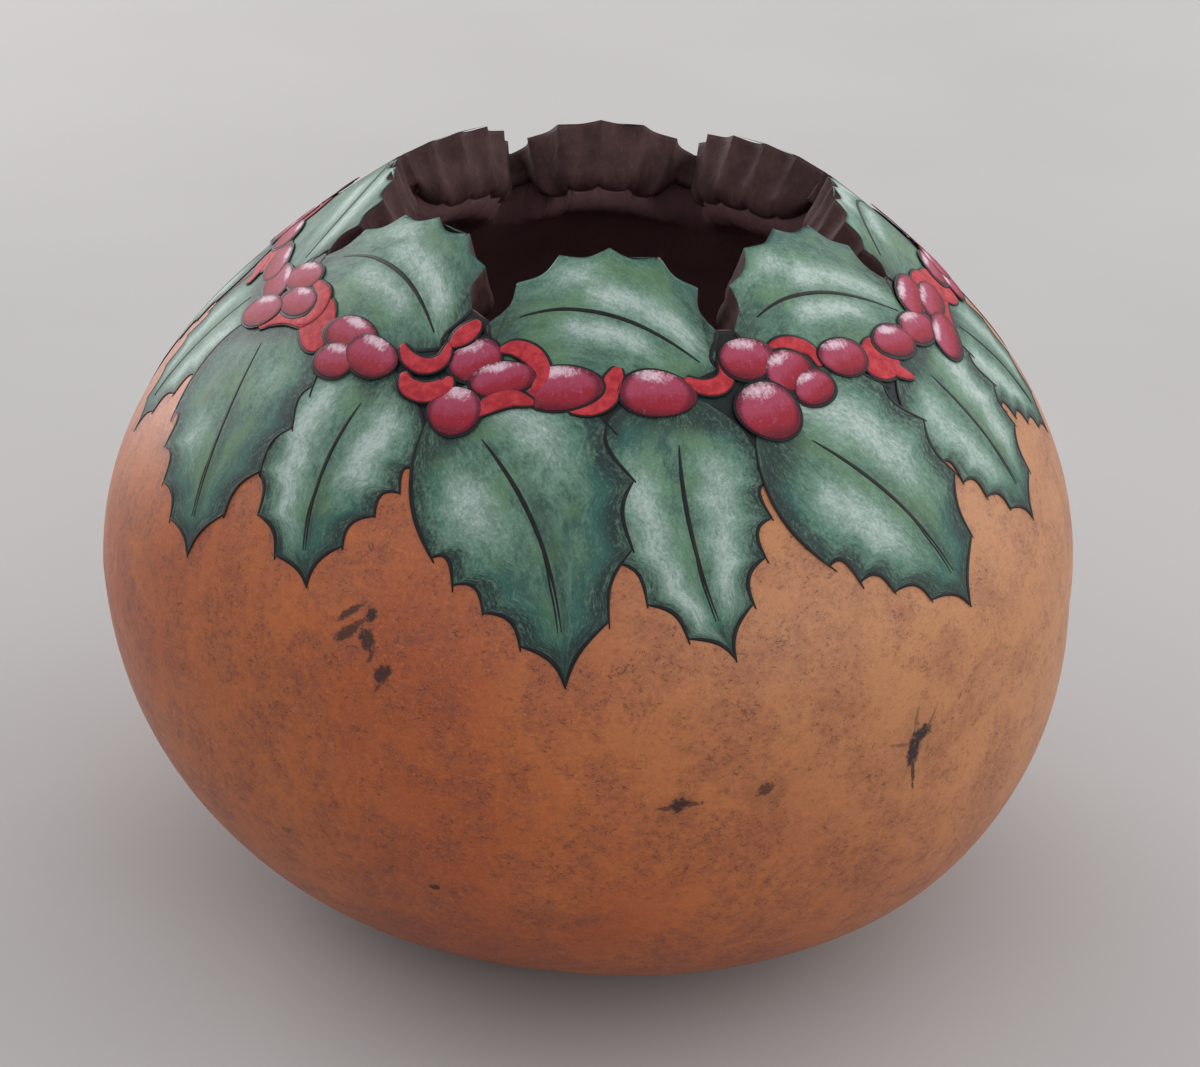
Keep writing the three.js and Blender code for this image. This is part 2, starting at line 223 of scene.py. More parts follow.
def smooth(low, high, value):
    return ease(np.clip((value - low) / (high - low), 0, 1))


def bell(value, centre, width):
    return np.exp(-(((value - centre) / width) ** 2))


# The outline of the mouth

ENVELOPE_STEPS = 640
PER_SCALLOP = 18
IN_NOTCH = 5


def level_at(leaf, share):
    """The mouth's height above MOUTH_ARC along a rim leaf, from its left notch to its right one."""
    return leaf["start_lift"] + (leaf["end_lift"] - leaf["start_lift"]) * share


def rim_envelope(leaf):
    """The smooth outline of a rim leaf as azimuth and arc, from left to right."""
    step = np.arange(ENVELOPE_STEPS + 1)
    turn = np.pi * (1 - step / ENVELOPE_STEPS)
    power = 2 / np.where(step < ENVELOPE_STEPS / 2, *RIM_SQUARENESS)
    across = np.sign(np.cos(turn)) * np.abs(np.cos(turn)) ** power
    rise = np.abs(np.sin(turn)) ** power
    azimuth = (leaf["start"] + leaf["end"]) / 2 + (leaf["end"] - leaf["start"]) / 2 * across
    base = level_at(leaf, (across + 1) / 2)
    top = level_at(leaf, 0.5) + leaf["height"]
    return azimuth, MOUTH_ARC + (base + (top - base) * rise)


def rim_outline(leaf):
    """Points spaced evenly along the envelope, the inward normal and how deep the scallop is there."""
    azimuth, arc = rim_envelope(leaf)
    east = np.radians(np.diff(azimuth)) * radius_at(arc[:-1])
    north = np.diff(arc)
    lengths = np.concatenate([[0], np.cumsum(np.hypot(east, north))])
    step = np.arange(RIM_SCALLOPS * PER_SCALLOP + 1)
    wanted = lengths[-1] * step / step[-1]
    x = np.interp(wanted, lengths, azimuth)
    y = np.interp(wanted, lengths, arc)
    middle = (lengths[1:] + lengths[:-1]) / 2
    east = np.interp(wanted, middle, east / np.diff(lengths))
    north = np.interp(wanted, middle, north / np.diff(lengths))
    size = np.hypot(east, north)
    dip = RIM_SCALLOP_DEPTH * np.abs(np.sin(np.pi * step / PER_SCALLOP))
    return x, y, north / size, -east / size, dip


def moved(azimuth, arc, east, north):
    return azimuth + np.degrees(east / radius_at(arc)), arc + north


# Creases run down the cut from the spines and the notches, and the lip is thin near a notch
SPINE_CREASE = 0.8
NOTCH_CREASE = 2.2
# How many columns a spine's crease, a notch's crease and the thin part of the lip take
SPINE_CREASE_COLUMNS = 1.6
NOTCH_CREASE_COLUMNS = 5
THIN_LIP_COLUMNS = 12
# How much a column's azimuth at the base ring follows the mouth, and not an even spacing
BASE_FOLLOWS_MOUTH = 0.3


def mouth_columns():
    """For each column round the mouth: azimuth and arc of its top, its inward direction as east and
    north, the scallop's depth, the crease, the lip's share and the azimuth at the base ring."""
    parts = []
    for leaf in RIM_LEAVES:
        outline = rim_outline(leaf)
        count = np.arange(len(outline[0]))
        from_spine = np.abs((count + PER_SCALLOP / 2) % PER_SCALLOP - PER_SCALLOP / 2)
        from_notch = np.minimum(count, count[::-1])
        crease = SPINE_CREASE * bell(from_spine, 0, SPINE_CREASE_COLUMNS)
        crease = np.maximum(crease, NOTCH_CREASE * bell(from_notch, 0, NOTCH_CREASE_COLUMNS))
        lip = 1 - bell(from_notch, 0, THIN_LIP_COLUMNS)
        share = np.arange(1, IN_NOTCH + 1) / (IN_NOTCH + 1)
        turn = np.pi * (1 + share)
        x = leaf["end"] + (leaf["start"] + leaf["pitch"] - leaf["end"]) * share
        y = MOUTH_ARC + (leaf["end_lift"] + (leaf["next_lift"] - leaf["end_lift"]) * share)
        flat = np.zeros(IN_NOTCH)
        notch = (x, y, np.cos(turn), np.sin(turn), flat, flat + NOTCH_CREASE, flat)
        columns = [np.concatenate(pair) for pair in zip((*outline, crease, lip), notch)]
        total = len(columns[0])
        even = leaf["start"] + leaf["pitch"] * np.arange(total) / total
        base = BASE_FOLLOWS_MOUTH * columns[0] + (1 - BASE_FOLLOWS_MOUTH) * even
        parts.append([*columns, base])
    return [np.concatenate(column) for column in zip(*parts)]


# Building meshes

def new_object(name, data):
    made = bpy.data.objects.new(name, data)
    bpy.context.scene.collection.objects.link(made)
    return made


def new_mesh(name, points, faces, materials):
    """A smooth mesh. Points are in metres."""
    mesh = bpy.data.meshes.new(name)
    mesh.from_pydata(np.asarray(points).tolist(), [], faces)
    mesh.polygons.foreach_set("use_smooth", np.ones(len(mesh.polygons), bool))
    for each in materials:
        mesh.materials.append(each)
    return mesh


def new_piece(name, points, faces, materials, nodes, attributes=None, face_materials=None):
    """A mesh piece that rides on the gourd. Points are in millimetres."""
    mesh = new_mesh(name, points * MM, faces, materials)
    if face_materials is not None:
        mesh.polygons.foreach_set("material_index", face_materials)
    for key, values in (attributes or {}).items():
        kind = "FLOAT_VECTOR" if values.ndim == 2 else "FLOAT"
        layer = mesh.attributes.new(key, kind, "POINT")
        field = "vector" if values.ndim == 2 else "value"
        layer.data.foreach_set(field, np.ascontiguousarray(values, np.float32).ravel())
    mesh.validate()
    piece = new_object(name, mesh)
    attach(piece, "root")
    if nodes:
        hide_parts(*nodes)


def ring_faces(rows, columns, flip=False):
    """Quads between closed rings of points."""
    faces = []
    for i in range(rows - 1):
        for k in range(columns):
            a = i * columns + k
            b = i * columns + (k + 1) % columns
            quad = (a, b, b + columns, a + columns)
            faces.append(quad[::-1] if flip else quad)
    return faces


def capped(rows, low, high):
    """Points and faces of a closed body of rings, with a middle point before the first and after the last."""
    points = np.concatenate([*rows, [low], [high]])
    columns = len(rows[0])
    pole = len(rows) * columns
    last = pole - columns
    faces = ring_faces(len(rows), columns)
    for k in range(columns):
        after = (k + 1) % columns
        faces.append((pole, after, k))
        faces.append((last + k, last + after, pole + 1))
    return points, faces


# Gourd shell and its inner coat

# The fan of columns evens out from INSET behind the cut edge down to BASE_ARC
BASE_ARC = 78
INSET = 4.5
INSET_AT_LEAST = 0.5
FAN_EASE = 1.2
mouth_x, mouth_y, mouth_east, mouth_north, mouth_dip, mouth_crease, mouth_lip, mouth_base = mouth_columns()
COLUMNS = len(mouth_x)


def mouth_row(inset):
    return moved(mouth_x, mouth_y, mouth_east * inset, mouth_north * inset)


def skin_rows(edge_inset, inset_rows, fan_rows, lower_rows):
    """Azimuth and arc of each row of the shell, from the cut edge down to the foot."""
    rows = []
    inner = np.maximum(INSET, edge_inset + INSET_AT_LEAST)
    for share in np.linspace(0, 1, inset_rows):
        rows.append(mouth_row(edge_inset + (inner - edge_inset) * share))
    start_x, start_y = mouth_row(inner)
    for share in np.linspace(0, 1, fan_rows)[1:]:
        eased = share**FAN_EASE
        rows.append((start_x + (mouth_base - start_x) * eased, start_y + (BASE_ARC - start_y) * eased))
    for share in np.linspace(0, 1, lower_rows)[1:]:
        rows.append((mouth_base, np.full(COLUMNS, BASE_ARC + (FOOT_ARC - BASE_ARC) * share)))
    return rows


# Rows of points behind the cut edge, down to BASE_ARC and down to the foot
RIND_ROWS = (7, 22, 96)
RIND_WALL_ROWS = (4, 22, 18)
COAT_ROWS = (4, 22, 46)
COAT_BACK_ROWS = (2, 9, 18)
# Rows over the cut face
RIND_CUT_SHARES = (0.3, 0.5, 0.65, 0.8, 0.9, 1)
COAT_CUT_ROWS = 18
COAT_BACK_CUT_ROWS = 8

RIND_UNDER_COAT = 2
RIND_BELOW_COAT = 0.4
RIND_LIP = 3
COAT_LIFT = 0.3
COAT_BACK = 0.05
CUT_ROUNDING = 4
ROUNDED_FROM = 0.5
ROUNDED_WALL = 15
LIP_THICKER = 7.5
LIP_REACH = 32
CREASE_REACH = 20
CREASE_SLOPE = 2.5
# Lumps: height, their size in columns and in shares of the cut, or in degrees and millimetres, and seed
CUT_LUMPS = [(0.35, 9, 0.4, 5), (0.2, 3.5, 0.25, 6)]
CUT_LUMPS_SLOPE = 1.6
WALL_LUMPS = [(0.8, 9, 11, 8), (0.4, 4, 4, 9)]
COAT_LUMPINESS = 0.5
LUMPS_ABOVE_FOOT = 40
LUMPS_BELOW_CUT = 10


def cut_row(share, lift, depth, rough=0.0, lip=LIP_THICKER):
    """A row over the cut face, from the skin at share 0 to its rounded inner edge at share 1."""
    bevel = max(0, (share - ROUNDED_FROM) / (1 - ROUNDED_FROM)) ** 2
    groove = mouth_crease * min(1, share * CREASE_SLOPE)
    x, y = mouth_row(mouth_dip - lift + CUT_ROUNDING * bevel + rough + groove)
    deep = depth + lip * mouth_lip - CUT_ROUNDING * bevel - mouth_crease * share**2
    return through_wall(x, y, share, deep)


def wall_rows(lift, depth, counts, lumpy, lip=LIP_THICKER):
    """Rows down the inside of the wall, below the rounded inner edge of the cut."""
    places = skin_rows(mouth_dip + CUT_ROUNDING - lift + mouth_crease, *counts)
    first = skin(*places[0])
    rows = []
    for x, y in places[1:]:
        away = np.linalg.norm(skin(x, y) - first, axis=1)
        rounding = CUT_ROUNDING * (1 - np.clip(away / ROUNDED_WALL, 0, 1)) ** 2
        thicker = lip * mouth_lip * (1 - smooth(0, LIP_REACH, away))
        groove = mouth_crease * (1 - np.clip(away / CREASE_REACH, 0, 1)) ** 2
        uneven = lumpy * (1 + lumps(WALL_LUMPS, x, y)) * smooth(FOOT_ARC, FOOT_ARC + LUMPS_ABOVE_FOOT, y)
        uneven = uneven * smooth(0, LUMPS_BELOW_CUT, away)
        rows.append(through_wall(x, y, 1, depth + thicker - rounding - groove + uneven))
    return rows


def add_shell(skin_paint):
    rows = [skin(x, y) for x, y in skin_rows(mouth_dip, *RIND_ROWS)[::-1]]
    for share in RIND_CUT_SHARES:
        rows.append(cut_row(share, -RIND_BELOW_COAT * share, -RIND_UNDER_COAT, lip=RIND_LIP))
    rows += wall_rows(0, -RIND_UNDER_COAT, RIND_WALL_ROWS, 0, RIND_LIP)
    inside_foot = through_wall(mouth_base, FOOT_ARC, 1).mean(0)
    points, faces = capped(rows, [LEAN_AT_FOOT, 0, 0], inside_foot)
    new_piece("gourd_rind", points, faces, [skin_paint], ["gourd_shell"])


def coat_surface(lift, cut_rows, counts):
    """Rows of points over the cut face and down the inside, held off the rind by a lift."""
    rows = []
    for share in np.linspace(0, 1, cut_rows):
        swing = math.sin(math.pi * min(share * CUT_LUMPS_SLOPE, 1) / 2)
        rough = np.abs(lumps(CUT_LUMPS, np.arange(COLUMNS), share)) * swing
        rows.append(cut_row(share, lift, lift, rough))
    return rows + wall_rows(lift, lift, counts, COAT_LUMPINESS)


def add_inner_coat(dark_paint):
    back = coat_surface(COAT_BACK, COAT_BACK_CUT_ROWS, COAT_BACK_ROWS)
    rows = back[::-1] + coat_surface(COAT_LIFT, COAT_CUT_ROWS, COAT_ROWS)
    points, faces = capped(rows, rows[0].mean(0), rows[-1].mean(0))
    # cut is 1 on the cut face; the material paints the rest of the inside lighter, as painted light
    cut = np.zeros(len(points))
    first = len(back) * COLUMNS
    cut[first : first + COAT_CUT_ROWS * COLUMNS] = 1
    new_piece("dark_inner_coat", points, faces, [dark_paint], ["inner_coat"], {"cut": cut})


# Paint on the skin: leaves, strokes and berries as thin closed coats

class Coat:
    """Collects thin closed patches of paint and makes one piece of them."""

    def __init__(self):
        self.points = []
        self.faces = []
        self.materials = []
        self.count = 0
        self.values = {}

    def add(self, points, faces, material, **values):
        self.points.append(points)
        self.faces += [tuple(i + self.count for i in face) for face in faces]
        self.materials += [material] * len(faces)
        self.count += len(points)
        for key, each in values.items():
            self.values.setdefault(key, []).append(each)

    def piece(self, name, materials, slot, nodes):
        points = np.concatenate(self.points)
        values = {key: np.concatenate(each) for key, each in self.values.items()}
        new_piece(name, points, self.faces, materials, nodes, values, self.materials)


# How deep a coat's edge is sunk into the skin, and how high a pen line stands
SUNK = 0.05
LINE_HEIGHT = 0.03
# Keeps the noise of one leaf or berry apart from the next one's
LEAF_FLOW_STEP = 37
BERRY_FLOW_STEP = 13


def both_sides(grid):
    """The values of a patch: first those on top, and then those below, where there is no edge."""
    parts = (grid, grid[1:-1, 1:-1])
    return np.concatenate([part.reshape(-1, *grid.shape[2:]) for part in parts])


def add_patch(coat, azimuth, arc, lift, thickness, material, **values):
    """A closed patch, where a grid on top and a grid below share a sunk edge. The values are grids too."""
    index = np.arange(azimuth.size).reshape(azimuth.shape)
    below = index.copy()
    inside = below[1:-1, 1:-1]
    inside[:] = index.size + np.arange(inside.size).reshape(inside.shape)
    faces = []
    for grid, order in ((index, 1), (below, -1)):
        corners = [grid[:-1, :-1], grid[1:, :-1], grid[1:, 1:], grid[:-1, 1:]]
        quads = np.stack([corner.ravel() for corner in corners[::order]], -1)
        faces += [tuple(quad) for quad in quads.tolist()]
    raised = np.full(azimuth.shape, lift - SUNK)
    raised[1:-1, 1:-1] = lift + thickness
    top = skin(azimuth, arc, raised).reshape(-1, 3)
    low = skin(azimuth[1:-1, 1:-1], arc[1:-1, 1:-1], lift - SUNK).reshape(-1, 3)
    values = {key: both_sides(grid) for key, grid in values.items()}
    coat.add(np.concatenate([top, low]), faces, material, **values)


def flow_of(along, side, apart):
    """Where the brush strokes' noise is read: along and beside the stroke, apart from other leaves."""
    return np.stack(np.broadcast_arrays(along, side, float(apart)), -1)


def add_stroke(coat, path, widths, lift, material, height=LINE_HEIGHT):
    """A pointed or round-ended pen stroke along a path of azimuth and arc."""
    path = np.asarray(path, float)
    widths = np.broadcast_to(widths, len(path))
    east = np.gradient(path[:, 0]) * np.radians(1) * radius_at(path[:, 1])
    north = np.gradient(path[:, 1])
    size = np.maximum(np.hypot(east, north), 1e-6)
    side_east = -north / size
    side_north = east / size
    rows = []
    for offset, raise_by in ((-0.5, -SUNK), (-0.4, height), (0.4, height), (0.5, -SUNK), (0, -2 * SUNK)):
        x, y = moved(path[:, 0], path[:, 1], side_east * widths * offset, side_north * widths * offset)
        rows.append(skin(x, y, lift + raise_by))
    points = np.stack(rows, 1).reshape(-1, 3)
    ring = len(rows)
    faces = ring_faces(len(path), ring, True)
    faces.append(tuple(range(ring)))
    faces.append(tuple(range(len(points) - 1, len(points) - 1 - ring, -1)))
    zero = np.zeros(len(points))
    coat.add(points, faces, material, light=zero, dark=zero, teal=zero, flow=np.zeros((len(points), 3)))


def leaf_spread(leaf, along, side):
    """Azimuth and arc at shares along and beside the midrib of a hanging leaf, and its reach there."""
    middle = (leaf["root"] + leaf["tip"]) / 2
    root_arc = garland_arc(leaf["root"]) - leaf["drop"]
    start = np.array([np.radians(leaf["root"] - middle) * radius_at(root_arc), root_arc])
    end_arc = root_arc - leaf["length"]
    end = np.array([np.radians(leaf["tip"] - middle) * radius_at(end_arc), end_arc])
    chord = (end - start) / np.hypot(*(end - start))
    bend = (start + end) / 2 + 2 * leaf["bow"] * np.array([-chord[1], chord[0]])
    t = along[..., None]
    point = start * (1 - t) ** 2 + 2 * bend * t * (1 - t) + end * t**2
    tangent = 2 * (bend - start) * (1 - t) + 2 * (end - bend) * t
    tangent /= np.hypot(tangent[..., 0], tangent[..., 1])[..., None]
    edges = [leaf_edge(leaf["half"], along, SPINE_SHARES[each]) for each in (-1, 1)]
    reach, spike = np.where(side < 0, *edges)
    forward = LEAF_SPINE_FORWARD * spike * side**2
    east = point[..., 0] - side * reach * tangent[..., 1] + forward * tangent[..., 0]
    north = point[..., 1] + side * reach * tangent[..., 0] + forward * tangent[..., 1]
    return middle + np.degrees(east / radius_at(north)), north, reach


def leaf_edge(half, along, shares):
    """How far one edge of a leaf reaches from the midrib, and how close it is to a spine."""
    shares = np.array(shares)

    def fullness(t):
        swollen = np.sin(np.pi * t**LEAF_WIDEST_EARLY)
        power = np.where(t < 0.5 ** (1 / LEAF_WIDEST_EARLY), LEAF_ROUNDNESS_ABOVE, LEAF_ROUNDNESS_BELOW)
        return np.maximum(swollen, 0) ** power

    part = np.interp(along, shares, np.arange(len(shares))) % 1
    part = np.where(along >= 1, 1, part)
    hollow = np.sin(np.pi * part)
    straight = half * np.interp(along, shares, fullness(shares))
    reach = np.where(along < shares[1], half * fullness(along), straight - LEAF_SCALLOP_DEPTH * hollow)
    spike = (1 - hollow) * fullness(along)
    spike = np.where(along < shares[1], part**6, spike)
    return np.maximum(reach, 0.15 * np.sin(np.pi * np.clip(along, 0, 1))), spike


def garland_arc(azimuth):
    """The arc of the garland's middle line, which hangs from the notches."""
    starts = np.array([leaf["start"] for leaf in RIM_LEAVES] + [RIM_LEAVES[0]["start"] + 360])
    lifts = [min(leaf["start_lift"], 0) for leaf in RIM_LEAVES]
    turned = starts[0] + np.mod(np.asarray(azimuth, float) - starts[0], 360)
    return MOUTH_ARC + np.interp(turned, starts, lifts + lifts[:1]) - GARLAND_DROP


LEAF_BASE_LIFT = 0.09
LAYER_STEP = 0.1
LEAF_THICKNESS = 0.04
LINE_ABOVE = 0.08
# Shares of a leaf's length over which its pale paint begins and ends
PALE_BEGINS_OVER = 0.22
PALE_ENDS_OVER = 0.3
LEAF_STEPS = 88
LEAF_ROWS = 40
RIM_LEAF_ROWS = 30
ROWS_CLOSER_AT_EDGE = 1.3


def leaf_light(leaf, along, side, seed):
    """Where the brush laid pale paint: a broad patch on each half of the leaf."""
    random = np.random.default_rng(seed)
    light = np.zeros(along.shape)
    for half, (start, end) in zip((-1, 1), leaf["pale"]):
        centre = half * random.uniform(0.42, 0.5)
        width = random.uniform(0.27, 0.33)
        strength = random.uniform(0.85, 1)
        span = smooth(start, start + PALE_BEGINS_OVER, along) * (1 - smooth(end - PALE_ENDS_OVER, end, along))
        light = np.maximum(light, strength * span * bell(side, centre, width))
    return light


def add_hanging_leaf(coat, leaf, seed):
    """A leaf that is dark at its edge, its root and its midrib, teal at its tip and pale on its halves."""
    t = np.unique(np.concatenate([np.linspace(0, 1, LEAF_STEPS), SPINE_SHARES[-1], SPINE_SHARES[1]]))
    s = np.linspace(-1, 1, LEAF_ROWS + 1)
    s = np.sign(s) * (1 - (1 - np.abs(s)) ** ROWS_CLOSER_AT_EDGE)
    along, side = np.meshgrid(t, s, indexing="ij")
    azimuth, arc, reach = leaf_spread(leaf, along, side)
    lift = LEAF_BASE_LIFT + leaf["layer"] * LAYER_STEP
    edge = (1 - np.abs(side)) * np.maximum(reach, 0.1)
    tip = (1 - along) * leaf["length"]
    root = along * leaf["length"]
    dark = 1 - smooth(1, 8, edge)
    dark = np.maximum(dark, 0.95 * (1 - smooth(4, 13, root)))
    dark = np.maximum(dark, 0.55 * bell(side, 0.1, 0.13) * smooth(0.15, 0.5, along))
    teal = np.maximum(1 - smooth(4, 17, tip), bell(edge, 5, 4) * smooth(0.04, 0.2, along))
    light = leaf_light(leaf, along, side, seed)
    flow = flow_of(root, side * leaf["half"], seed * LEAF_FLOW_STEP)
    add_patch(coat, azimuth, arc, lift, LEAF_THICKNESS, 0, light=light, dark=dark, teal=teal, flow=flow)
    add_leaf_lines(coat, leaf, lift + LINE_ABOVE, seed)


def pen_width(width, count, start=0.04, power=0.5):
    """The width of a pen stroke that swells in its middle and ends in fine points."""
    return width * np.sin(np.pi * np.linspace(start, 0.97, count)) ** power


def leaf_path(leaf, shares, side):
    """A path of azimuth and arc along a hanging leaf, at a share beside its midrib."""
    return np.stack(leaf_spread(leaf, shares, side + 0 * shares)[:2], -1)


MIDRIB_WIDTH = 0.95
MIDRIB_POINT = 0.12
SIDE_LINE_WIDTH = 0.5
RIM_MIDRIB_WIDTH = 1.1
RIM_BASE_LINE_WIDTH = 1.0


def add_leaf_lines(coat, leaf, lift, seed):
    """A pen stroke along each scallop, which often runs a little past its spine, and the midrib."""
    random = np.random.default_rng(seed + 500)
    for side in (-1, 1):
        shares = SPINE_SHARES[side]
        for start, end in zip(shares[:-1], shares[1:]):
            path = leaf_path(leaf, np.linspace(max(start, 0.02), min(end, 0.995), 22), side)
            past = random.uniform(0.3, 1.2)
            path = np.concatenate([path, path[-1:] + past * (path[-1:] - path[-3:-2])])
            add_stroke(coat, path, pen_width(random.uniform(0.75, 1.1), len(path)), lift, 1)
    t = np.linspace(random.uniform(0.14, 0.2), random.uniform(0.8, 0.88), 30)
    taper = np.sin(np.pi * np.clip(np.linspace(0, 1, len(t)) ** 0.7, 0.02, 0.99)) ** 0.8
    add_stroke(coat, leaf_path(leaf, t, 0), MIDRIB_WIDTH * taper + MIDRIB_POINT, lift, 1)
    # A second line leaves the midrib in its lower half
    t = t[16:]
    path = leaf_path(leaf, t, np.linspace(0, -0.09, len(t)))
    add_stroke(coat, path, pen_width(SIDE_LINE_WIDTH, len(t)), lift, 1)


RIM_PAINT_OVER_EDGE = 0.33
RIM_LEAF_BELOW_GARLAND = 1
RIM_LEAF_BELOW_NOTCH = 0.6
RIM_LEAF_MIDDLE_ARC = 110
# The midrib of a rim leaf is highest at this share across the leaf
RIB_TOP_AT = 0.36
RIB_HEIGHT = 5.9


def rib_rise(share):
    """How high above the mouth's level a rim leaf's midrib runs, by the share across the leaf."""
    off = share - RIB_TOP_AT
    return RIB_HEIGHT - np.where(off < 0, 60, 30) * off**2 - 30 * np.maximum(off, 0) ** 3


def kept_behind_edge(azimuth, arc, edge_azimuth, edge_arc):
    """The azimuths, pulled inwards where a point would hang over a scallop on a leaf's steep side."""
    half = len(edge_arc) // 2
    kept = azimuth.copy()
    left = np.interp(arc[:half], np.maximum.accumulate(edge_arc[:half]), edge_azimuth[:half])
    kept[:half] = np.maximum(azimuth[:half], left)
    from_right = edge_arc[::-1][:half]
    right = np.interp(arc[-half:], np.maximum.accumulate(from_right), edge_azimuth[::-1][:half])
    kept[-half:] = np.minimum(azimuth[-half:], right)
    return kept


def add_rim_leaf(coat, leaf, seed):
    """A leaf that is pale along both sides of its midrib, dark at its base and teal at its edge."""
    x, y, east, north, dip = rim_outline(leaf)
    over = dip - RIM_PAINT_OVER_EDGE
    top_x, top_y = moved(x, y, east * over, north * over)
    along = np.arange(len(x)) / (len(x) - 1)
    low_y = np.minimum(MOUTH_ARC + level_at(leaf, along), top_y) - RIM_LEAF_BELOW_NOTCH
    low_y = low_y + (garland_arc(top_x) - RIM_LEAF_BELOW_GARLAND - low_y) * np.sin(np.pi * along) ** 0.7
    share = np.linspace(0, 1, RIM_LEAF_ROWS + 1)[None, :]
    deep = (top_y - low_y)[:, None]
    arc = low_y[:, None] + deep * share
    azimuth = kept_behind_edge(top_x[:, None] + 0 * share, arc, top_x, top_y)
    across = (azimuth - leaf["start"]) / (leaf["end"] - leaf["start"])
    above = arc - (MOUTH_ARC + level_at(leaf, across)) - rib_rise(across)
    light = bell(above, 5, 5) * smooth(0.25, 0.5, across) * (1 - smooth(0.84, 1, across))
    under = bell(above, -4.5, 4) * smooth(0.2, 0.4, across) * (1 - smooth(0.62, 0.85, across))
    light = np.maximum(light, 0.95 * under)
    light = np.maximum(light, 0.85 * bell(above, 9, 4.5) * bell(across, 0.34, 0.2))
    from_notch = []
    for notch, lift in ((leaf["start"], leaf["start_lift"]), (leaf["end"], leaf["end_lift"])):
        off = np.radians(azimuth - notch) * radius_at(arc)
        from_notch.append(np.hypot(off, 0.6 * (arc - MOUTH_ARC - lift)))
    dark = 0.7 * (1 - smooth(0, 7, share * deep))
    dark = np.maximum(dark, 0.7 * (1 - smooth(2, 12, np.minimum(*from_notch))))
    teal = 1 - smooth(0.3, 3.5, (1 - share) * deep)
    teal = 0.85 * np.maximum(teal, 0.7 * bell(above, 1, 2) * smooth(0.4, 0.6, across))
    width = np.radians(leaf["end"] - leaf["start"]) * radius_at(RIM_LEAF_MIDDLE_ARC)
    flow = flow_of(across * width, above, seed * LEAF_FLOW_STEP)
    add_patch(
        coat, azimuth, arc, LEAF_BASE_LIFT, LEAF_THICKNESS, 0, light=light, dark=dark, teal=teal, flow=flow
    )
    lift = LEAF_BASE_LIFT + LINE_ABOVE
    add_stroke(coat, np.stack([top_x, low_y], -1)[::3], RIM_BASE_LINE_WIDTH, lift, 1)
    share = np.linspace(0.12, 0.9, 30)
    rib_x = leaf["start"] + (leaf["end"] - leaf["start"]) * share
    rib_y = MOUTH_ARC + level_at(leaf, share) + rib_rise(share)
    add_stroke(coat, np.stack([rib_x, rib_y], -1), pen_width(RIM_MIDRIB_WIDTH, len(share)), lift, 1)


# Berries: each spray is a cluster under a notch and a chain to the next

# Places are degrees after the notch and the arc on a level garland. A berry has its half width, half
# height and tilt, and a ribbon its width and path. Each list goes from the lowest coat to the highest.
BUNCH = [
    ("ribbon", 5.0, [(17, 83.2), (20.4, 84.2), (22.6, 87), (23.6, 91), (24.2, 94)]),
    ("ribbon", 4.2, [(35.2, 91), (37.6, 88.8), (40.6, 88.8), (42.3, 91.4), (42, 96)]),
    ("berry", 30.4, 87.6, 8.0, 5.9, -6),
    ("berry", 15.4, 88.2, 8.6, 5.6, 4),
    ("ribbon", 4.6, [(3.8, 95.6), (6.5, 96.6), (9.8, 95), (11.8, 91.2), (11.2, 86.4)]),
    ("berry", 0.4, 92.1, 6.2, 5.1, 25),
    ("berry", 5.8, 88.7, 7.2, 4.3, 22),
    ("ribbon", 4.4, [(2.6, 78.4), (5.0, 82.2), (8, 84.4), (11.6, 83.9)]),
    ("berry", 0.1, 79.5, 5.9, 6.0, 0),
]
PAIR = [
    ("ribbon", 4.0, [(4.4, 95.6), (6.9, 96.5), (9.9, 96.2), (12.8, 94.0), (13.4, 89.6)]),
    ("red", 26.4, 87.0, 6.0, 5.4, -30),
    ("ribbon", 3.6, [(26, 86), (28.4, 83), (31, 79.6)]),
    ("berry", 41.6, 88.6, 7.0, 4.6, -12),
    ("berry", 32.6, 89.3, 7.4, 4.2, -16),
    ("berry", 18.8, 90.3, 7.0, 4.7, -4),
    ("berry", 0.2, 94.5, 6.6, 5.1, -10),
    ("berry", 6.9, 90.2, 6.0, 4.9, 20),
    ("berry", 10.2, 85.0, 5.6, 4.0, 12),
    ("berry", 1, 81.5, 7.4, 6.9, 0),
]
TRAIL = [
    ("red", 16.6, 88.6, 7.8, 5.2, -40),
    ("ribbon", 4.6, [(4.0, 79.6), (5.8, 83.8), (9.3, 86.4), (14.4, 86.6)]),
    ("ribbon", 4.4, [(5.4, 96), (11.0, 95.4), (13.8, 92.2), (13.9, 88.6), (12.0, 86.2)]),
    ("berry", 1.2, 95.0, 7.4, 4.4, 22),
    ("berry", 7.0, 90.0, 7.2, 4.2, 14),
    ("berry", 0.4, 82.4, 7.6, 4.8, 28),
    ("berry", 25.5, 89.6, 8.4, 4.6, -4),
    ("berry", 25.9, 82.8, 5.8, 4.3, 8),
    ("berry", 31.8, 86.8, 7.6, 4.9, -4),
    ("ribbon", 4.8, [(39.0, 85.4), (41.0, 82.6), (44.2, 82.2), (46.6, 84.6), (47, 87)]),
    ("ribbon", 3.8, [(36.0, 91.6), (38.7, 88.9), (42, 88.1), (44.3, 90.4), (44.3, 95)]),
    ("ribbon", 4.8, [(47.6, 101.6), (46.8, 99), (45.7, 96.6), (44.6, 94.2)]),
]
SPRAY_KINDS = [(BUNCH, 46.5), (PAIR, 47), (TRAIL, 49.5)]
SPRAYS = [0, 1, 2, 0, 1, 2, 1, 2]
SPRAY_LIFT = 0.42
BERRY_STEP = 0.045
BERRY_OVER_OUTLINE = 0.025
BERRY_DOME = 0.02
OUTLINE = 0.6
RIBBON_STEPS = 26
RIBBON_THICKNESS = 0.02
BERRY_AROUND = 36
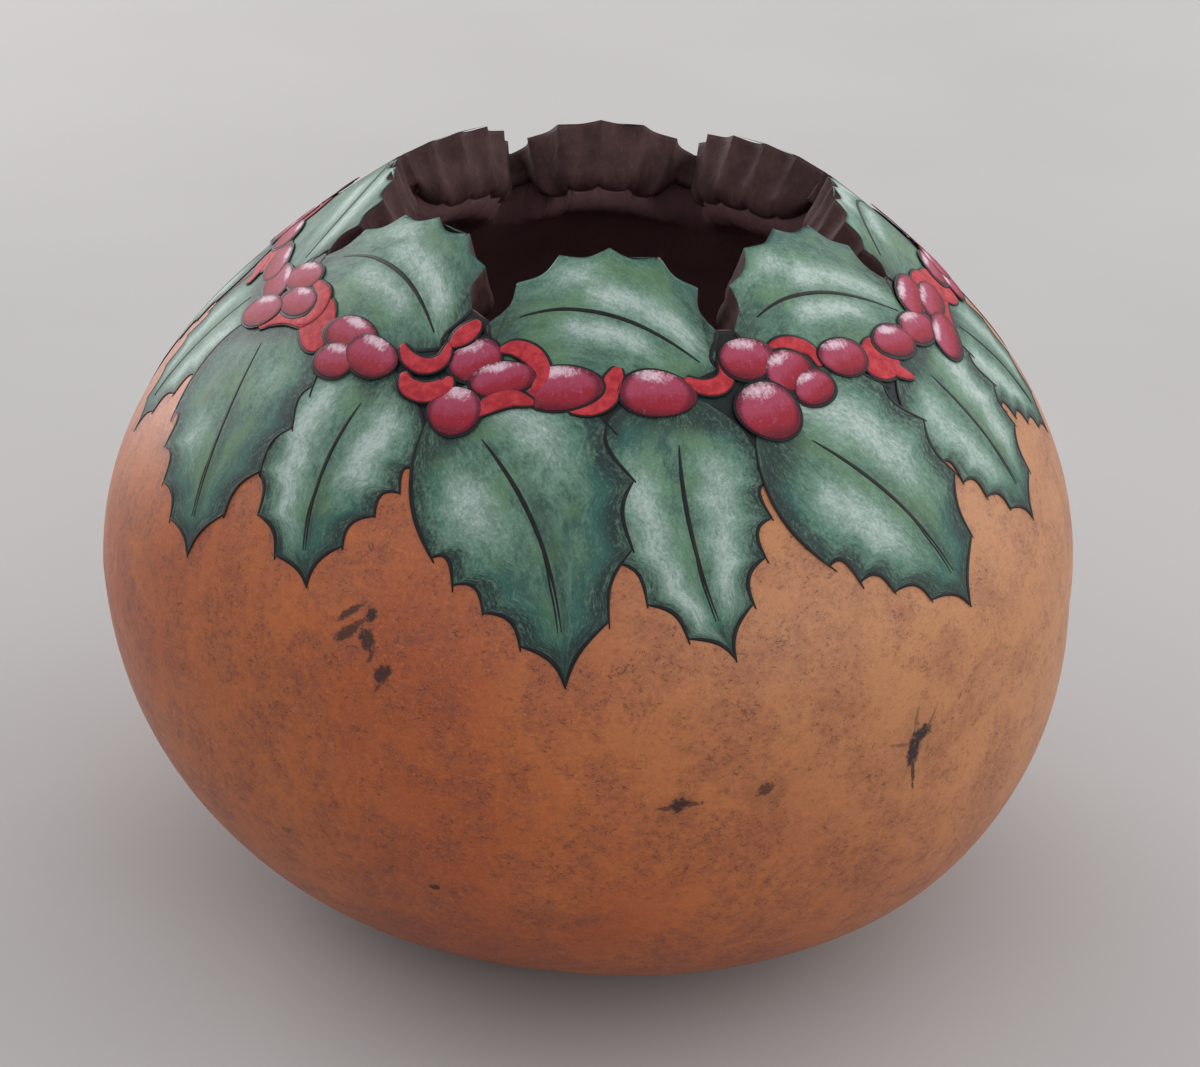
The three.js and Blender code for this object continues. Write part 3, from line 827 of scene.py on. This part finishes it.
BERRY_RINGS = np.array([0.18, 0.36, 0.52, 0.67, 0.8, 0.9, 0.97, 1.0])


def add_berry(coat, azimuth, arc, half_width, half_height, tilt, lift, material, seed, grow=0.0):
    """A closed, softly domed patch of paint with an uneven round outline."""
    random = np.random.default_rng(seed)
    turn = np.linspace(0, 2 * np.pi, BERRY_AROUND, endpoint=False)
    uneven = 1 + 0.05 * np.sin(2 * turn + random.uniform(0, 6))
    uneven = uneven + 0.03 * np.sin(3 * turn + random.uniform(0, 6))
    # The rings run from the middle below, round the edge, to the middle on top
    share = np.concatenate([BERRY_RINGS[:-1], BERRY_RINGS[::-1]])
    raised = np.full(len(share), lift - SUNK)
    raised[len(BERRY_RINGS) :] = lift + BERRY_DOME * (1 - BERRY_RINGS[-2::-1] ** 2)
    u = share[:, None] * (np.cos(turn) * uneven)
    v = share[:, None] * (np.sin(turn) * uneven)
    angle = math.radians(tilt)
    wide = u * (half_width + grow)
    tall = v * (half_height + grow)
    east = wide * math.cos(angle) - tall * math.sin(angle)
    north = wide * math.sin(angle) + tall * math.cos(angle)
    rings = skin(*moved(azimuth, arc, east, north), raised[:, None])
    points, faces = capped(rings, *skin(azimuth, arc, np.array([lift - SUNK, lift + BERRY_DOME])))
    u = np.append(u, [0, 0])
    v = np.append(v, [0, 0])
    light = bell(v, 0.7, 0.36) * bell(u, -0.15, 0.7)
    dark = np.maximum(0.9 * smooth(-0.3, -1, v), smooth(0.7, 1, np.hypot(u, v)))
    teal = smooth(-0.65, 0.45, v - 0.2 * u)
    flow = flow_of(u * half_width, v * half_height, seed * BERRY_FLOW_STEP)
    coat.add(points, faces, material, light=light, dark=dark, teal=teal, flow=flow)


def curve_through(points, count):
    """A smooth path through a few places."""
    points = np.asarray(points, float)
    padded = np.concatenate([[2 * points[0] - points[1]], points, [2 * points[-1] - points[-2]]])
    path = []
    spans = len(points) - 1
    for t in np.linspace(0, spans, count):
        i = min(int(t), spans - 1)
        f = t - i
        a, b, c, d = padded[i : i + 4]
        bend = 2 * a - 5 * b + 4 * c - d
        twist = 3 * b - a - 3 * c + d
        path.append(0.5 * (2 * b + (c - a) * f + bend * f**2 + twist * f**3))
    return np.array(path)


def add_spray(coat, i):
    """The berries and ribbons from one notch to the next, each over its own dark outline."""
    items, level_span = SPRAY_KINDS[SPRAYS[i]]
    leaf = RIM_LEAVES[i]
    random = np.random.default_rng(900 + i)

    def place(after, arc):
        azimuth = leaf["start"] + after * (leaf["pitch"] / level_span)
        return azimuth, arc + GARLAND_DROP - MOUTH_ARC + float(garland_arc(azimuth))

    for n, item in enumerate(items):
        lift = SPRAY_LIFT + n * BERRY_STEP
        above_outline = lift + BERRY_OVER_OUTLINE + SUNK
        if item[0] == "ribbon":
            _, width, path = item
            path = curve_through([place(*each) for each in path], RIBBON_STEPS)
            widths = pen_width(width, RIBBON_STEPS, 0.03, 0.6)
            add_stroke(coat, path, widths + 2 * OUTLINE, lift, 1, RIBBON_THICKNESS)
            add_stroke(coat, path, widths, above_outline, 2, RIBBON_THICKNESS)
        else:
            kind, after, arc, *shape = item
            azimuth, arc = place(after, arc)
            seed = 100 * i + n
            line = OUTLINE * random.uniform(0.7, 1.3)
            around = moved(azimuth, arc, random.uniform(-0.25, 0.25), random.uniform(-0.3, 0.1))
            add_berry(coat, *around, *shape, lift, 1, seed, line)
            add_berry(coat, azimuth, arc, *shape, above_outline, 0 if kind == "berry" else 2, seed)


# The dark ground reaches down under the leaves to this azimuth, and beyond it only where a leaf hides it
GROUND_DEEP_TO = 92
GROUND_BELOW_GARLAND = 7
GROUND_UNDER_LEAVES = 11
GROUND_BELOW_MOUTH = 0.2
GROUND_THICKNESS = 0.05
GROUND_AROUND = 480
GROUND_ROWS = [0.01, *np.linspace(0.05, 0.95, 18), 0.99]
# Notches that end this far above MOUTH_ARC leave a wide gap below them, and the others a narrow one
HIGH_NOTCH = 5
HIGH_NOTCH_SPREAD = 3.5
LOW_NOTCH_SPREAD = 0.6
NOTCH_COLUMNS = 25
NOTCH_ROWS = 13
NOTCH_LIFT = 0.02
NOTCH_THICKNESS = 0.06
# How far below the mouth the dark paint ends beside a narrow notch, where the leaves' teeth dip
PAINT_LOWER_BESIDE = 3


def add_garland_ground(leaves, ground_paint, line_paint):
    """The dark paint between the leaves and the berries, a closed band round the gourd."""
    azimuth = np.arange(GROUND_AROUND) * 360 / GROUND_AROUND
    level = garland_arc(azimuth)
    covered = np.zeros(GROUND_AROUND)
    for leaf in leaves:
        left, right = leaf_spread(leaf, np.full(2, 0.3), np.array([-0.9, 0.9]))[0]
        inside = np.minimum((azimuth - left) % 360, (right - azimuth) % 360)
        within = (azimuth - left) % 360 < (right - left) % 360
        covered = np.maximum(covered, np.where(within, smooth(0, 2.5, inside), 0))
    covered = np.where(np.abs((azimuth + 180) % 360 - 180) < GROUND_DEEP_TO, 1, covered)
    low = level - GROUND_BELOW_GARLAND - GROUND_UNDER_LEAVES * covered
    low = low + value_noise(azimuth / 7, azimuth * 0, 21)
    high = level + GARLAND_DROP - GROUND_BELOW_MOUTH
    rings = [(0, -SUNK), *((share, GROUND_THICKNESS) for share in GROUND_ROWS), (1, -SUNK)]
    rings += [(share, -SUNK) for share in reversed(GROUND_ROWS)]
    points = [skin(azimuth, low + (high - low) * share, lift) for share, lift in rings]
    faces = ring_faces(len(rings), GROUND_AROUND)
    last = (len(rings) - 1) * GROUND_AROUND
    for k in range(GROUND_AROUND):
        after = (k + 1) % GROUND_AROUND
        faces.append((last + k, last + after, after, k))
    coat = Coat()
    coat.add(np.concatenate(points), faces, 0)
    for leaf in RIM_LEAVES:
        is_high = leaf["end_lift"] > HIGH_NOTCH
        spread = HIGH_NOTCH_SPREAD if is_high else LOW_NOTCH_SPREAD
        share = np.linspace(-spread, 1 + spread, NOTCH_COLUMNS)[:, None]
        width = leaf["start"] + leaf["pitch"] - leaf["end"]
        across = leaf["end"] + width * share + np.zeros((1, NOTCH_ROWS))
        top = MOUTH_ARC + leaf["end_lift"] + (leaf["next_lift"] - leaf["end_lift"]) * np.clip(share, 0, 1)
        beside = np.where((share > 0) & (share < 1) | is_high, 0, PAINT_LOWER_BESIDE)
        top = top + RIM_PAINT_OVER_EDGE - beside
        bottom = garland_arc(across[:, :1])
        arc = bottom + (top - bottom) * np.linspace(0, 1, NOTCH_ROWS)[None, :]
        add_patch(coat, across, arc, NOTCH_LIFT, NOTCH_THICKNESS, 0 if is_high else 1)
    coat.piece("garland_ground", [ground_paint, line_paint], "leaf_paint", [])


# Materials

def colour(red, green, blue):
    """A display colour, 0 to 255, as the linear colour that shaders use."""
    linear = []
    for part in (red, green, blue):
        c = part / 255
        linear.append(c / 12.92 if c <= 0.04045 else ((c + 0.055) / 1.055) ** 2.4)
    return (*linear, 1)


class Paint:
    """A procedural material: each method adds a node and gives its output."""

    def __init__(self, name):
        self.made = bpy.data.materials.new(name)
        self.made.use_nodes = True
        self.tree = self.made.node_tree
        self.tree.nodes.clear()

    def add(self, kind, inputs, **settings):
        node = self.tree.nodes.new(kind)
        for key, value in settings.items():
            setattr(node, key, value)
        for key, value in inputs.items():
            if isinstance(value, bpy.types.NodeSocket):
                self.tree.links.new(value, node.inputs[key])
            else:
                node.inputs[key].default_value = value
        return node

    def place(self):
        return self.add("ShaderNodeTexCoord", {}).outputs["Object"]

    def value(self, name, output="Fac"):
        return self.add("ShaderNodeAttribute", {}, attribute_name=name).outputs[output]

    def brush_values(self):
        """What each leaf and berry carries: its flow of strokes, and where it is light, dark and teal."""
        return [self.value("flow", "Vector"), *(self.value(name) for name in ("light", "dark", "teal"))]

    def vectors(self, operation, a, b, output="Vector"):
        return self.add("ShaderNodeVectorMath", {0: a, 1: b}, operation=operation).outputs[output]

    def stretched(self, vector, by):
        return self.vectors("MULTIPLY", vector, by)

    def noise(self, vector, size, detail=2.0, rough=0.5, warp=0.0):
        """Noise whose features are about size across, in the vector's unit."""
        inputs = {"Vector": vector, "Scale": 1 / size, "Detail": detail, "Roughness": rough}
        inputs["Distortion"] = warp
        return self.add("ShaderNodeTexNoise", inputs).outputs["Fac"]

    def math(self, operation, a, b):
        return self.add("ShaderNodeMath", {0: a, 1: b}, operation=operation).outputs[0]

    def times(self, a, b):
        return self.math("MULTIPLY", a, b)

    def sum(self, total, *values):
        for value in values:
            total = self.math("ADD", total, value)
        return total

    def weighed(self, *pairs):
        """The sum of values, each times its weight."""
        return self.sum(*(self.times(value, weight) for value, weight in pairs))

    def rise(self, value, low, high, top=1.0):
        """Goes smoothly from 0 to top as value goes from low to high."""
        inputs = {"Value": value, "From Min": low, "From Max": high, "To Min": 0.0, "To Max": top}
        return self.add("ShaderNodeMapRange", inputs, interpolation_type="SMOOTHSTEP").outputs[0]

    def mix(self, share, a, b):
        return self.add("ShaderNodeMix", {0: share, 6: a, 7: b}, data_type="RGBA").outputs[2]

    def tones(self, value, low, high, first, second):
        """The first colour up to low, the second one from high on."""
        return self.mix(self.rise(value, low, high), colour(*first), colour(*second))

    def layers(self, base, *layers):
        """Lays colours over a base. Each layer is a value, its low and high, its cover and its colour."""
        for value, low, high, cover, tint in layers:
            base = self.mix(self.rise(value, low, high, cover), base, colour(*tint))
        return base

    def finish(self, base, rough, height, depth, specular):
        """Ends the material with a gloss, and a bump whose relief is depth metres."""
        bump = self.add("ShaderNodeBump", {"Height": height, "Distance": depth, "Strength": 1.0})
        inputs = {"Base Color": base, "Roughness": rough, "Normal": bump.outputs[0]}
        shader = self.add("ShaderNodeBsdfPrincipled", inputs)
        shader.inputs["Specular IOR Level"].default_value = specular
        self.add("ShaderNodeOutputMaterial", {"Surface": shader.outputs[0]})
        return self.made


# Scars: azimuth, arc, half length, half width, slant of the long side in degrees and strength
SCARS = [
    (-26.9, 30.6, 3.2, 0.9, 42, 0.85), (-24.2, 31.3, 1.7, 1.2, 60, 0.95), (-25.4, 29.0, 2.4, 0.6, 45, 0.7),
    (-26.6, 26.4, 3.4, 1.2, 40, 0.85), (-24.1, 26.0, 2.7, 1.7, 125, 0.9), (-23.3, 22.4, 1.9, 0.5, 70, 0.7),
    (-21.7, 19.6, 2.4, 1.7, 45, 0.9), (-22.0, 16.0, 1.6, 0.4, 60, 0.6),
    (38.2, -1.2, 4.6, 1.9, 84, 1.0), (39.1, 1.6, 3.2, 1.8, 28, 1.0), (38.1, -6.8, 5.6, 0.55, 96, 0.9),
    (38.2, 4.6, 5.0, 0.5, 82, 0.5), (40.4, 4.0, 4.0, 0.4, 60, 0.45), (36.8, 0.2, 4.0, 0.5, 168, 0.5),
    (38.3, -0.8, 9.0, 6.0, 90, 0.14), (10.5, -4.8, 2.2, 1.8, 0, 0.95), (10.6, -5.2, 5.0, 0.7, 4, 0.75),
    (10.5, -5.4, 5.0, 3.5, 0, 0.14), (19.7, -2.8, 2.1, 1.4, 20, 0.8), (19.6, -3.6, 5.0, 3.6, 0, 0.18),
    (-16.6, -33.7, 1.2, 0.8, 0, 0.9),
]
# How far through the wall a scar's colour reaches
SCAR_REACH = 15


def scar_share(p, place):
    """Where the scars are: ellipses on the skin with ragged edges, which reach through the wall."""
    ragged = p.times(p.noise(place, 1.3 * MM, 5.0, 0.75), 5.0)
    total = None
    for azimuth, arc, long, wide, slant, strength in SCARS:
        centre, aside, above = skin(azimuth + np.array([0, 0.1, 0]), arc + np.array([0, 0, 0.1]))
        aside = (aside - centre) / np.linalg.norm(aside - centre)
        above = (above - centre) / np.linalg.norm(above - centre)
        turn = math.radians(slant)
        lengthwise = (aside * math.cos(turn) + above * math.sin(turn)) / (long * MM)
        crosswise = (above * math.cos(turn) - aside * math.sin(turn)) / (wide * MM)
        inwards = np.cross(aside, above) / (SCAR_REACH * MM)
        shifted = p.vectors("SUBTRACT", place, tuple(centre * MM))
        squares = []
        for axis in (lengthwise, crosswise, inwards):
            along = p.vectors("DOT_PRODUCT", shifted, tuple(axis), "Value")
            squares.append(p.times(along, along))
        scar = p.rise(p.sum(*squares, ragged), 4.1, 2.9, strength)
        total = scar if total is None else p.math("MAXIMUM", total, scar)
    return total


# The skin is painted paler towards this direction: a painted sheen on the upper right front
PAINTED_SHEEN_SIDE = (0.7, -0.3, 0.6)


def skin_material():
    p = Paint("gourd_skin")
    place = p.place()
    broad = p.noise(place, 55 * MM, 2.0)
    patches = p.noise(place, 13 * MM, 5.0, 0.65, 0.4)
    mottle = p.noise(place, 2.6 * MM, 6.0, 0.8, 0.3)
    lying = p.noise(p.stretched(place, (1, 1, 1.7)), 1.5 * MM, 5.0, 0.8)
    grain = p.noise(place, 0.7 * MM, 5.0, 0.85)
    specks = p.noise(p.stretched(place, (1, 1, 1.6)), 1.1 * MM, 3.0, 0.7)
    bent = p.noise(p.stretched(place, (1, 1, 1.7)), 2.6 * MM, 2.0, 0.5, 1.2)
    breaks = p.noise(place, 2.2 * MM, 2.0)
    # Painted sheen: towards the upper right front the skin is painted paler and less mottled, where a broad
    # soft highlight falls
    toward_painted_sheen = p.vectors("DOT_PRODUCT", place, PAINTED_SHEEN_SIDE, "Value")
    pale = p.rise(toward_painted_sheen, 0.07, 0.152, 0.75)
    tan = p.tones(broad, 0.36, 0.64, (164, 80, 38), (177, 96, 47))
    tan = p.mix(pale, tan, colour(183, 133, 88))
    tan = p.layers(tan, (patches, 0.42, 0.7, 0.35, (128, 68, 50)))
    mauve = p.times(p.rise(mottle, 0.4, 0.66, 0.75), p.rise(patches, 0.3, 0.62))
    mauve = p.times(mauve, p.sum(1.0, p.times(pale, -0.6)))
    tan = p.mix(mauve, tan, colour(124, 66, 52))
    tan = p.layers(tan, (lying, 0.5, 0.68, 0.4, (110, 58, 44)), (lying, 0.46, 0.3, 0.45, (200, 120, 66)))
    line = p.math("ABSOLUTE", p.sum(bent, -0.5), 0.0)
    cracks = p.times(p.rise(line, 0.03, 0.008), p.rise(breaks, 0.5, 0.58))
    cracks = p.times(cracks, p.rise(patches, 0.36, 0.54))
    dirt = p.times(p.rise(specks, 0.6, 0.67), p.rise(patches, 0.34, 0.56))
    dirt = p.math("MAXIMUM", cracks, dirt)
    tan = p.mix(p.times(dirt, 0.66), tan, colour(66, 32, 22))
    tan = p.layers(tan, (grain, 0.52, 0.72, 0.35, (214, 144, 100)))
    scars = scar_share(p, place)
    tan = p.mix(scars, tan, colour(42, 20, 19))
    rough = p.sum(p.rise(mottle, 0.2, 0.9, 0.14), 0.36)
    height = p.weighed((grain, 0.5), (mottle, 0.9), (scars, -0.6))
    return p.finish(tan, rough, height, 0.00012, 0.42)


def dark_material():
    p = Paint("inner_paint")
    place = p.place()
    clouds = p.noise(place, 9 * MM, 4.0, 0.6)
    fibre = p.noise(p.stretched(place, (1, 1, 0.35)), 1.6 * MM, 4.0, 0.6)
    base = p.tones(clouds, 0.35, 0.7, (61, 40, 39), (79, 54, 53))
    base = p.layers(base, (fibre, 0.5, 0.75, 0.45, (96, 69, 67)))
    # Painted light: down the inside wall, off the cut face, the coat is painted much lighter, standing in for
    # light that falls in through the mouth; the cut face keeps the darker tones
    base = p.mix(p.math("SUBTRACT", 1.0, p.value("cut")), base, colour(134, 101, 102))
    return p.finish(base, 0.7, p.sum(p.times(clouds, 2.0), fibre), 0.0003, 0.2)


def leaf_material():
    p = Paint("leaf_paint")
    flow, light, dark, teal = p.brush_values()
    streak = p.noise(p.stretched(flow, (0.5, 1, 1)), 1.0, 5.0, 0.8)
    grain = p.noise(flow, 0.8, 5.0, 0.85)
    dabs = p.noise(p.stretched(flow, (0.7, 1, 1)), 2.6, 5.0, 0.75)
    cloud = p.noise(flow, 7.0, 4.0, 0.6)
    broad = p.noise(flow, 11.0, 2.0)
    texture = p.sum(p.weighed((streak, 0.6), (grain, 1.5), (dabs, 0.9), (cloud, 0.7)), -1.82)
    lit = p.sum(light, texture)
    shade = p.sum(dark, p.times(texture, 0.45))
    green = p.tones(dabs, 0.34, 0.66, (54, 85, 74), (82, 114, 98))
    green = p.layers(green, (broad, 0.46, 0.62, 0.6, (92, 124, 84)))
    green = p.mix(p.times(teal, 0.8), green, colour(32, 84, 78))
    green = p.layers(
        green,
        (shade, 0.12, 0.95, 0.92, (28, 42, 42)),
        (grain, 0.5, 0.7, 0.3, (114, 136, 122)),
        (lit, -0.05, 0.45, 0.6, (104, 138, 116)),
        (lit, 0.3, 0.9, 0.7, (142, 164, 154)),
        (lit, 0.68, 1.25, 0.8, (184, 197, 191)),
    )
    rough = p.sum(0.46, p.rise(cloud, 0.3, 0.8, 0.12))
    return p.finish(green, rough, p.sum(streak, grain), 0.00008, 0.22)


def berry_material():
    p = Paint("berry_paint")
    flow, light, dark, pink = p.brush_values()
    streak = p.noise(p.stretched(flow, (1, 0.5, 1)), 0.9, 5.0, 0.8)
    grain = p.noise(flow, 0.7, 5.0, 0.85)
    dabs = p.noise(flow, 2.4, 4.0, 0.65)
    texture = p.sum(p.weighed((streak, 1.3), (grain, 1.5), (dabs, 0.8)), -1.8)
    mauve = p.sum(pink, p.times(texture, 0.7))
    base = p.layers(
        p.tones(mauve, 0.05, 0.95, (146, 36, 50), (160, 66, 90)),
        (p.sum(dark, texture), 0.1, 1.0, 0.85, (78, 20, 34)),
        (texture, 0.05, 0.6, 0.45, (200, 108, 130)),
        (p.sum(light, texture), 0.35, 1.1, 0.92, (220, 194, 204)),
    )
    return p.finish(base, 0.55, p.sum(streak, grain), 0.00008, 0.14)


def ground_material():
    p = Paint("ground_paint")
    place = p.place()
    dabs = p.noise(place, 4 * MM, 4.0, 0.6)
    grain = p.noise(place, 0.8 * MM, 3.0, 0.6)
    base = p.tones(dabs, 0.4, 0.66, (22, 26, 28), (24, 44, 40))
    base = p.layers(base, (grain, 0.5, 0.8, 0.3, (50, 66, 62)))
    return p.finish(base, 0.5, grain, 0.00004, 0.2)


def plain_material(name, noise, tones, rough, depth, specular):
    """Paint in two close tones: the noise's size, detail and roughness, then the tones' span and colours."""
    p = Paint(name)
    uneven = p.noise(p.place(), *noise)
    return p.finish(p.tones(uneven, *tones), rough, uneven, depth, specular)


# Camera, floor and light

CAMERA_ELEVATION = 25.6
CAMERA_DISTANCE = 744
PHOTO_WIDTH = 1200
FOCAL_PIXELS = 2967
CAMERA_ROLL = 2.6
CAMERA_SHIFT = (0.0094, 0.00875)
SENSOR_WIDTH = 36
NEAREST_SEEN = 0.01


def add_camera():
    data = bpy.data.cameras.new("camera")
    data.sensor_width = SENSOR_WIDTH
    data.lens = SENSOR_WIDTH * FOCAL_PIXELS / PHOTO_WIDTH
    data.shift_x, data.shift_y = CAMERA_SHIFT
    data.clip_start = NEAREST_SEEN
    camera = new_object("camera", data)
    angle = math.radians(CAMERA_ELEVATION)
    back = Vector((0, -math.cos(angle), math.sin(angle)))
    target = Vector((0, 0, WIDEST_HEIGHT)) * MM
    look = (-back).to_track_quat("-Z", "Y").to_matrix().to_4x4()
    turn = Matrix.Rotation(math.radians(CAMERA_ROLL), 4, "Z")
    camera.matrix_world = Matrix.Translation(target + back * CAMERA_DISTANCE * MM) @ look @ turn
    bpy.context.scene.camera = camera


# Floor, in metres: radius where it is flat, radius of its bend and height of its wall
FLOOR_FLAT = 2.4
FLOOR_BEND = 0.4
FLOOR_WALL = 0.55
FLOOR_BEND_STEPS = 12
FLOOR_AROUND = 96


def add_floor():
    """A round floor that curves up into a wall, the same from every side."""
    section = [(0.3, 0.0), (0.8, 0.0), (FLOOR_FLAT, 0.0)]
    for i in range(1, FLOOR_BEND_STEPS + 1):
        angle = math.pi / 2 * i / FLOOR_BEND_STEPS
        section.append((FLOOR_FLAT + FLOOR_BEND * math.sin(angle), FLOOR_BEND * (1 - math.cos(angle))))
    section.append((FLOOR_FLAT + FLOOR_BEND, FLOOR_WALL))
    points = []
    for radius, height in section:
        for k in range(FLOOR_AROUND):
            turn = 2 * math.pi * k / FLOOR_AROUND
            points.append((radius * math.cos(turn), radius * math.sin(turn), height))
    faces = ring_faces(len(section), FLOOR_AROUND, True)
    faces += [(len(points), k, (k + 1) % FLOOR_AROUND) for k in range(FLOOR_AROUND)]
    points.append((0, 0, 0))
    tones = (0.3, 0.7, (172, 169, 167), (176, 173, 171))
    paint = plain_material("floor", (0.25, 3.0), tones, 0.85, 0.0001, 0.2)
    floor = new_object("studio_floor", new_mesh("studio_floor", points, faces, [paint]))


# Lamps: place and diameter in metres, power in watts and colour
LAMPS = {
    "left_of_back": ((-1.2, 1.3, 0.6), 1.2, 17, (1, 0.99, 0.98)),
    "right_of_back": ((1.0, 1.5, 0.9), 1.0, 5, (1, 0.99, 0.99)),
    "right_side": ((1.5, 0.3, 0.6), 1.2, 6.5, (1, 0.99, 0.97)),
    "window": ((1.05, -1.0, 0.5), 0.5, 3.2, (1, 0.98, 0.96)),
}
LAMPS_AIM_AT = (0, 0, 0.09)
AMBIENT_COLOUR = (0.93, 0.94, 0.98, 1)


def add_lights():
    for name, (place, size, power, tint) in LAMPS.items():
        data = bpy.data.lights.new(name, "AREA")
        data.shape = "DISK"
        data.size = size
        data.energy = power
        data.color = tint
        lamp = new_object(name, data)
        lamp.visible_camera = False
        place = Vector(place)
        turned = (Vector(LAMPS_AIM_AT) - place).to_track_quat("-Z", "Y").to_matrix().to_4x4()
        lamp.matrix_world = Matrix.Translation(place) @ turned
    world = bpy.data.worlds.new("studio")
    world.use_nodes = True
    background = world.node_tree.nodes["Background"]
    background.inputs["Color"].default_value = AMBIENT_COLOUR
    background.inputs["Strength"].default_value = 1.0
    bpy.context.scene.world = world


add_camera()
add_floor()
add_lights()
settings = bpy.context.scene.view_settings
settings.view_transform = "Standard"
settings.look = "None"

LINE_TONES = (0.35, 0.75, (10, 11, 12), (26, 24, 26))
RIBBON_TONES = (0.35, 0.7, (158, 40, 48), (192, 62, 68))
line_paint = plain_material("line_paint", (2.5 * MM, 3.0), LINE_TONES, 0.5, 0.00003, 0.25)
ribbon_paint = plain_material("ribbon_paint", (2.0 * MM, 4.0, 0.6), RIBBON_TONES, 0.55, 0.00004, 0.14)
leaf_paints = [leaf_material(), line_paint]
berry_paints = [berry_material(), line_paint, ribbon_paint]


def add_paint(name, slot, paints, add_part, *values):
    """One piece of paint, which stands for the solid of that name."""
    coat = Coat()
    add_part(coat, *values)
    coat.piece(f"painted_{name}", paints, slot, [name])


add_shell(skin_material())
add_inner_coat(dark_material())

RIM_SEED = 40
for i, leaf in enumerate(RIM_LEAVES):
    add_paint(f"rim_leaf_{i + 1}", "leaf_paint", leaf_paints, add_rim_leaf, leaf, RIM_SEED + i)


leaves = list(FRONT_LEAVES)
for i in range(BACK_PAIRS):
    azimuth = BACK_START + i * BACK_PITCH
    for leaf in BACK_PAIR:
        leaves.append({**leaf, "root": azimuth + leaf["root"], "tip": azimuth + leaf["tip"]})
add_garland_ground(leaves, ground_material(), line_paint)
HANGING_SEED = 60
for i, leaf in enumerate(leaves):
    add_paint(f"hanging_leaf_{i + 1}", "leaf_paint", leaf_paints, add_hanging_leaf, leaf, HANGING_SEED + i)


for i in range(len(RIM_LEAVES)):
    add_paint(f"berry_spray_{i + 1}", "berry_paint", berry_paints, add_spray, i)
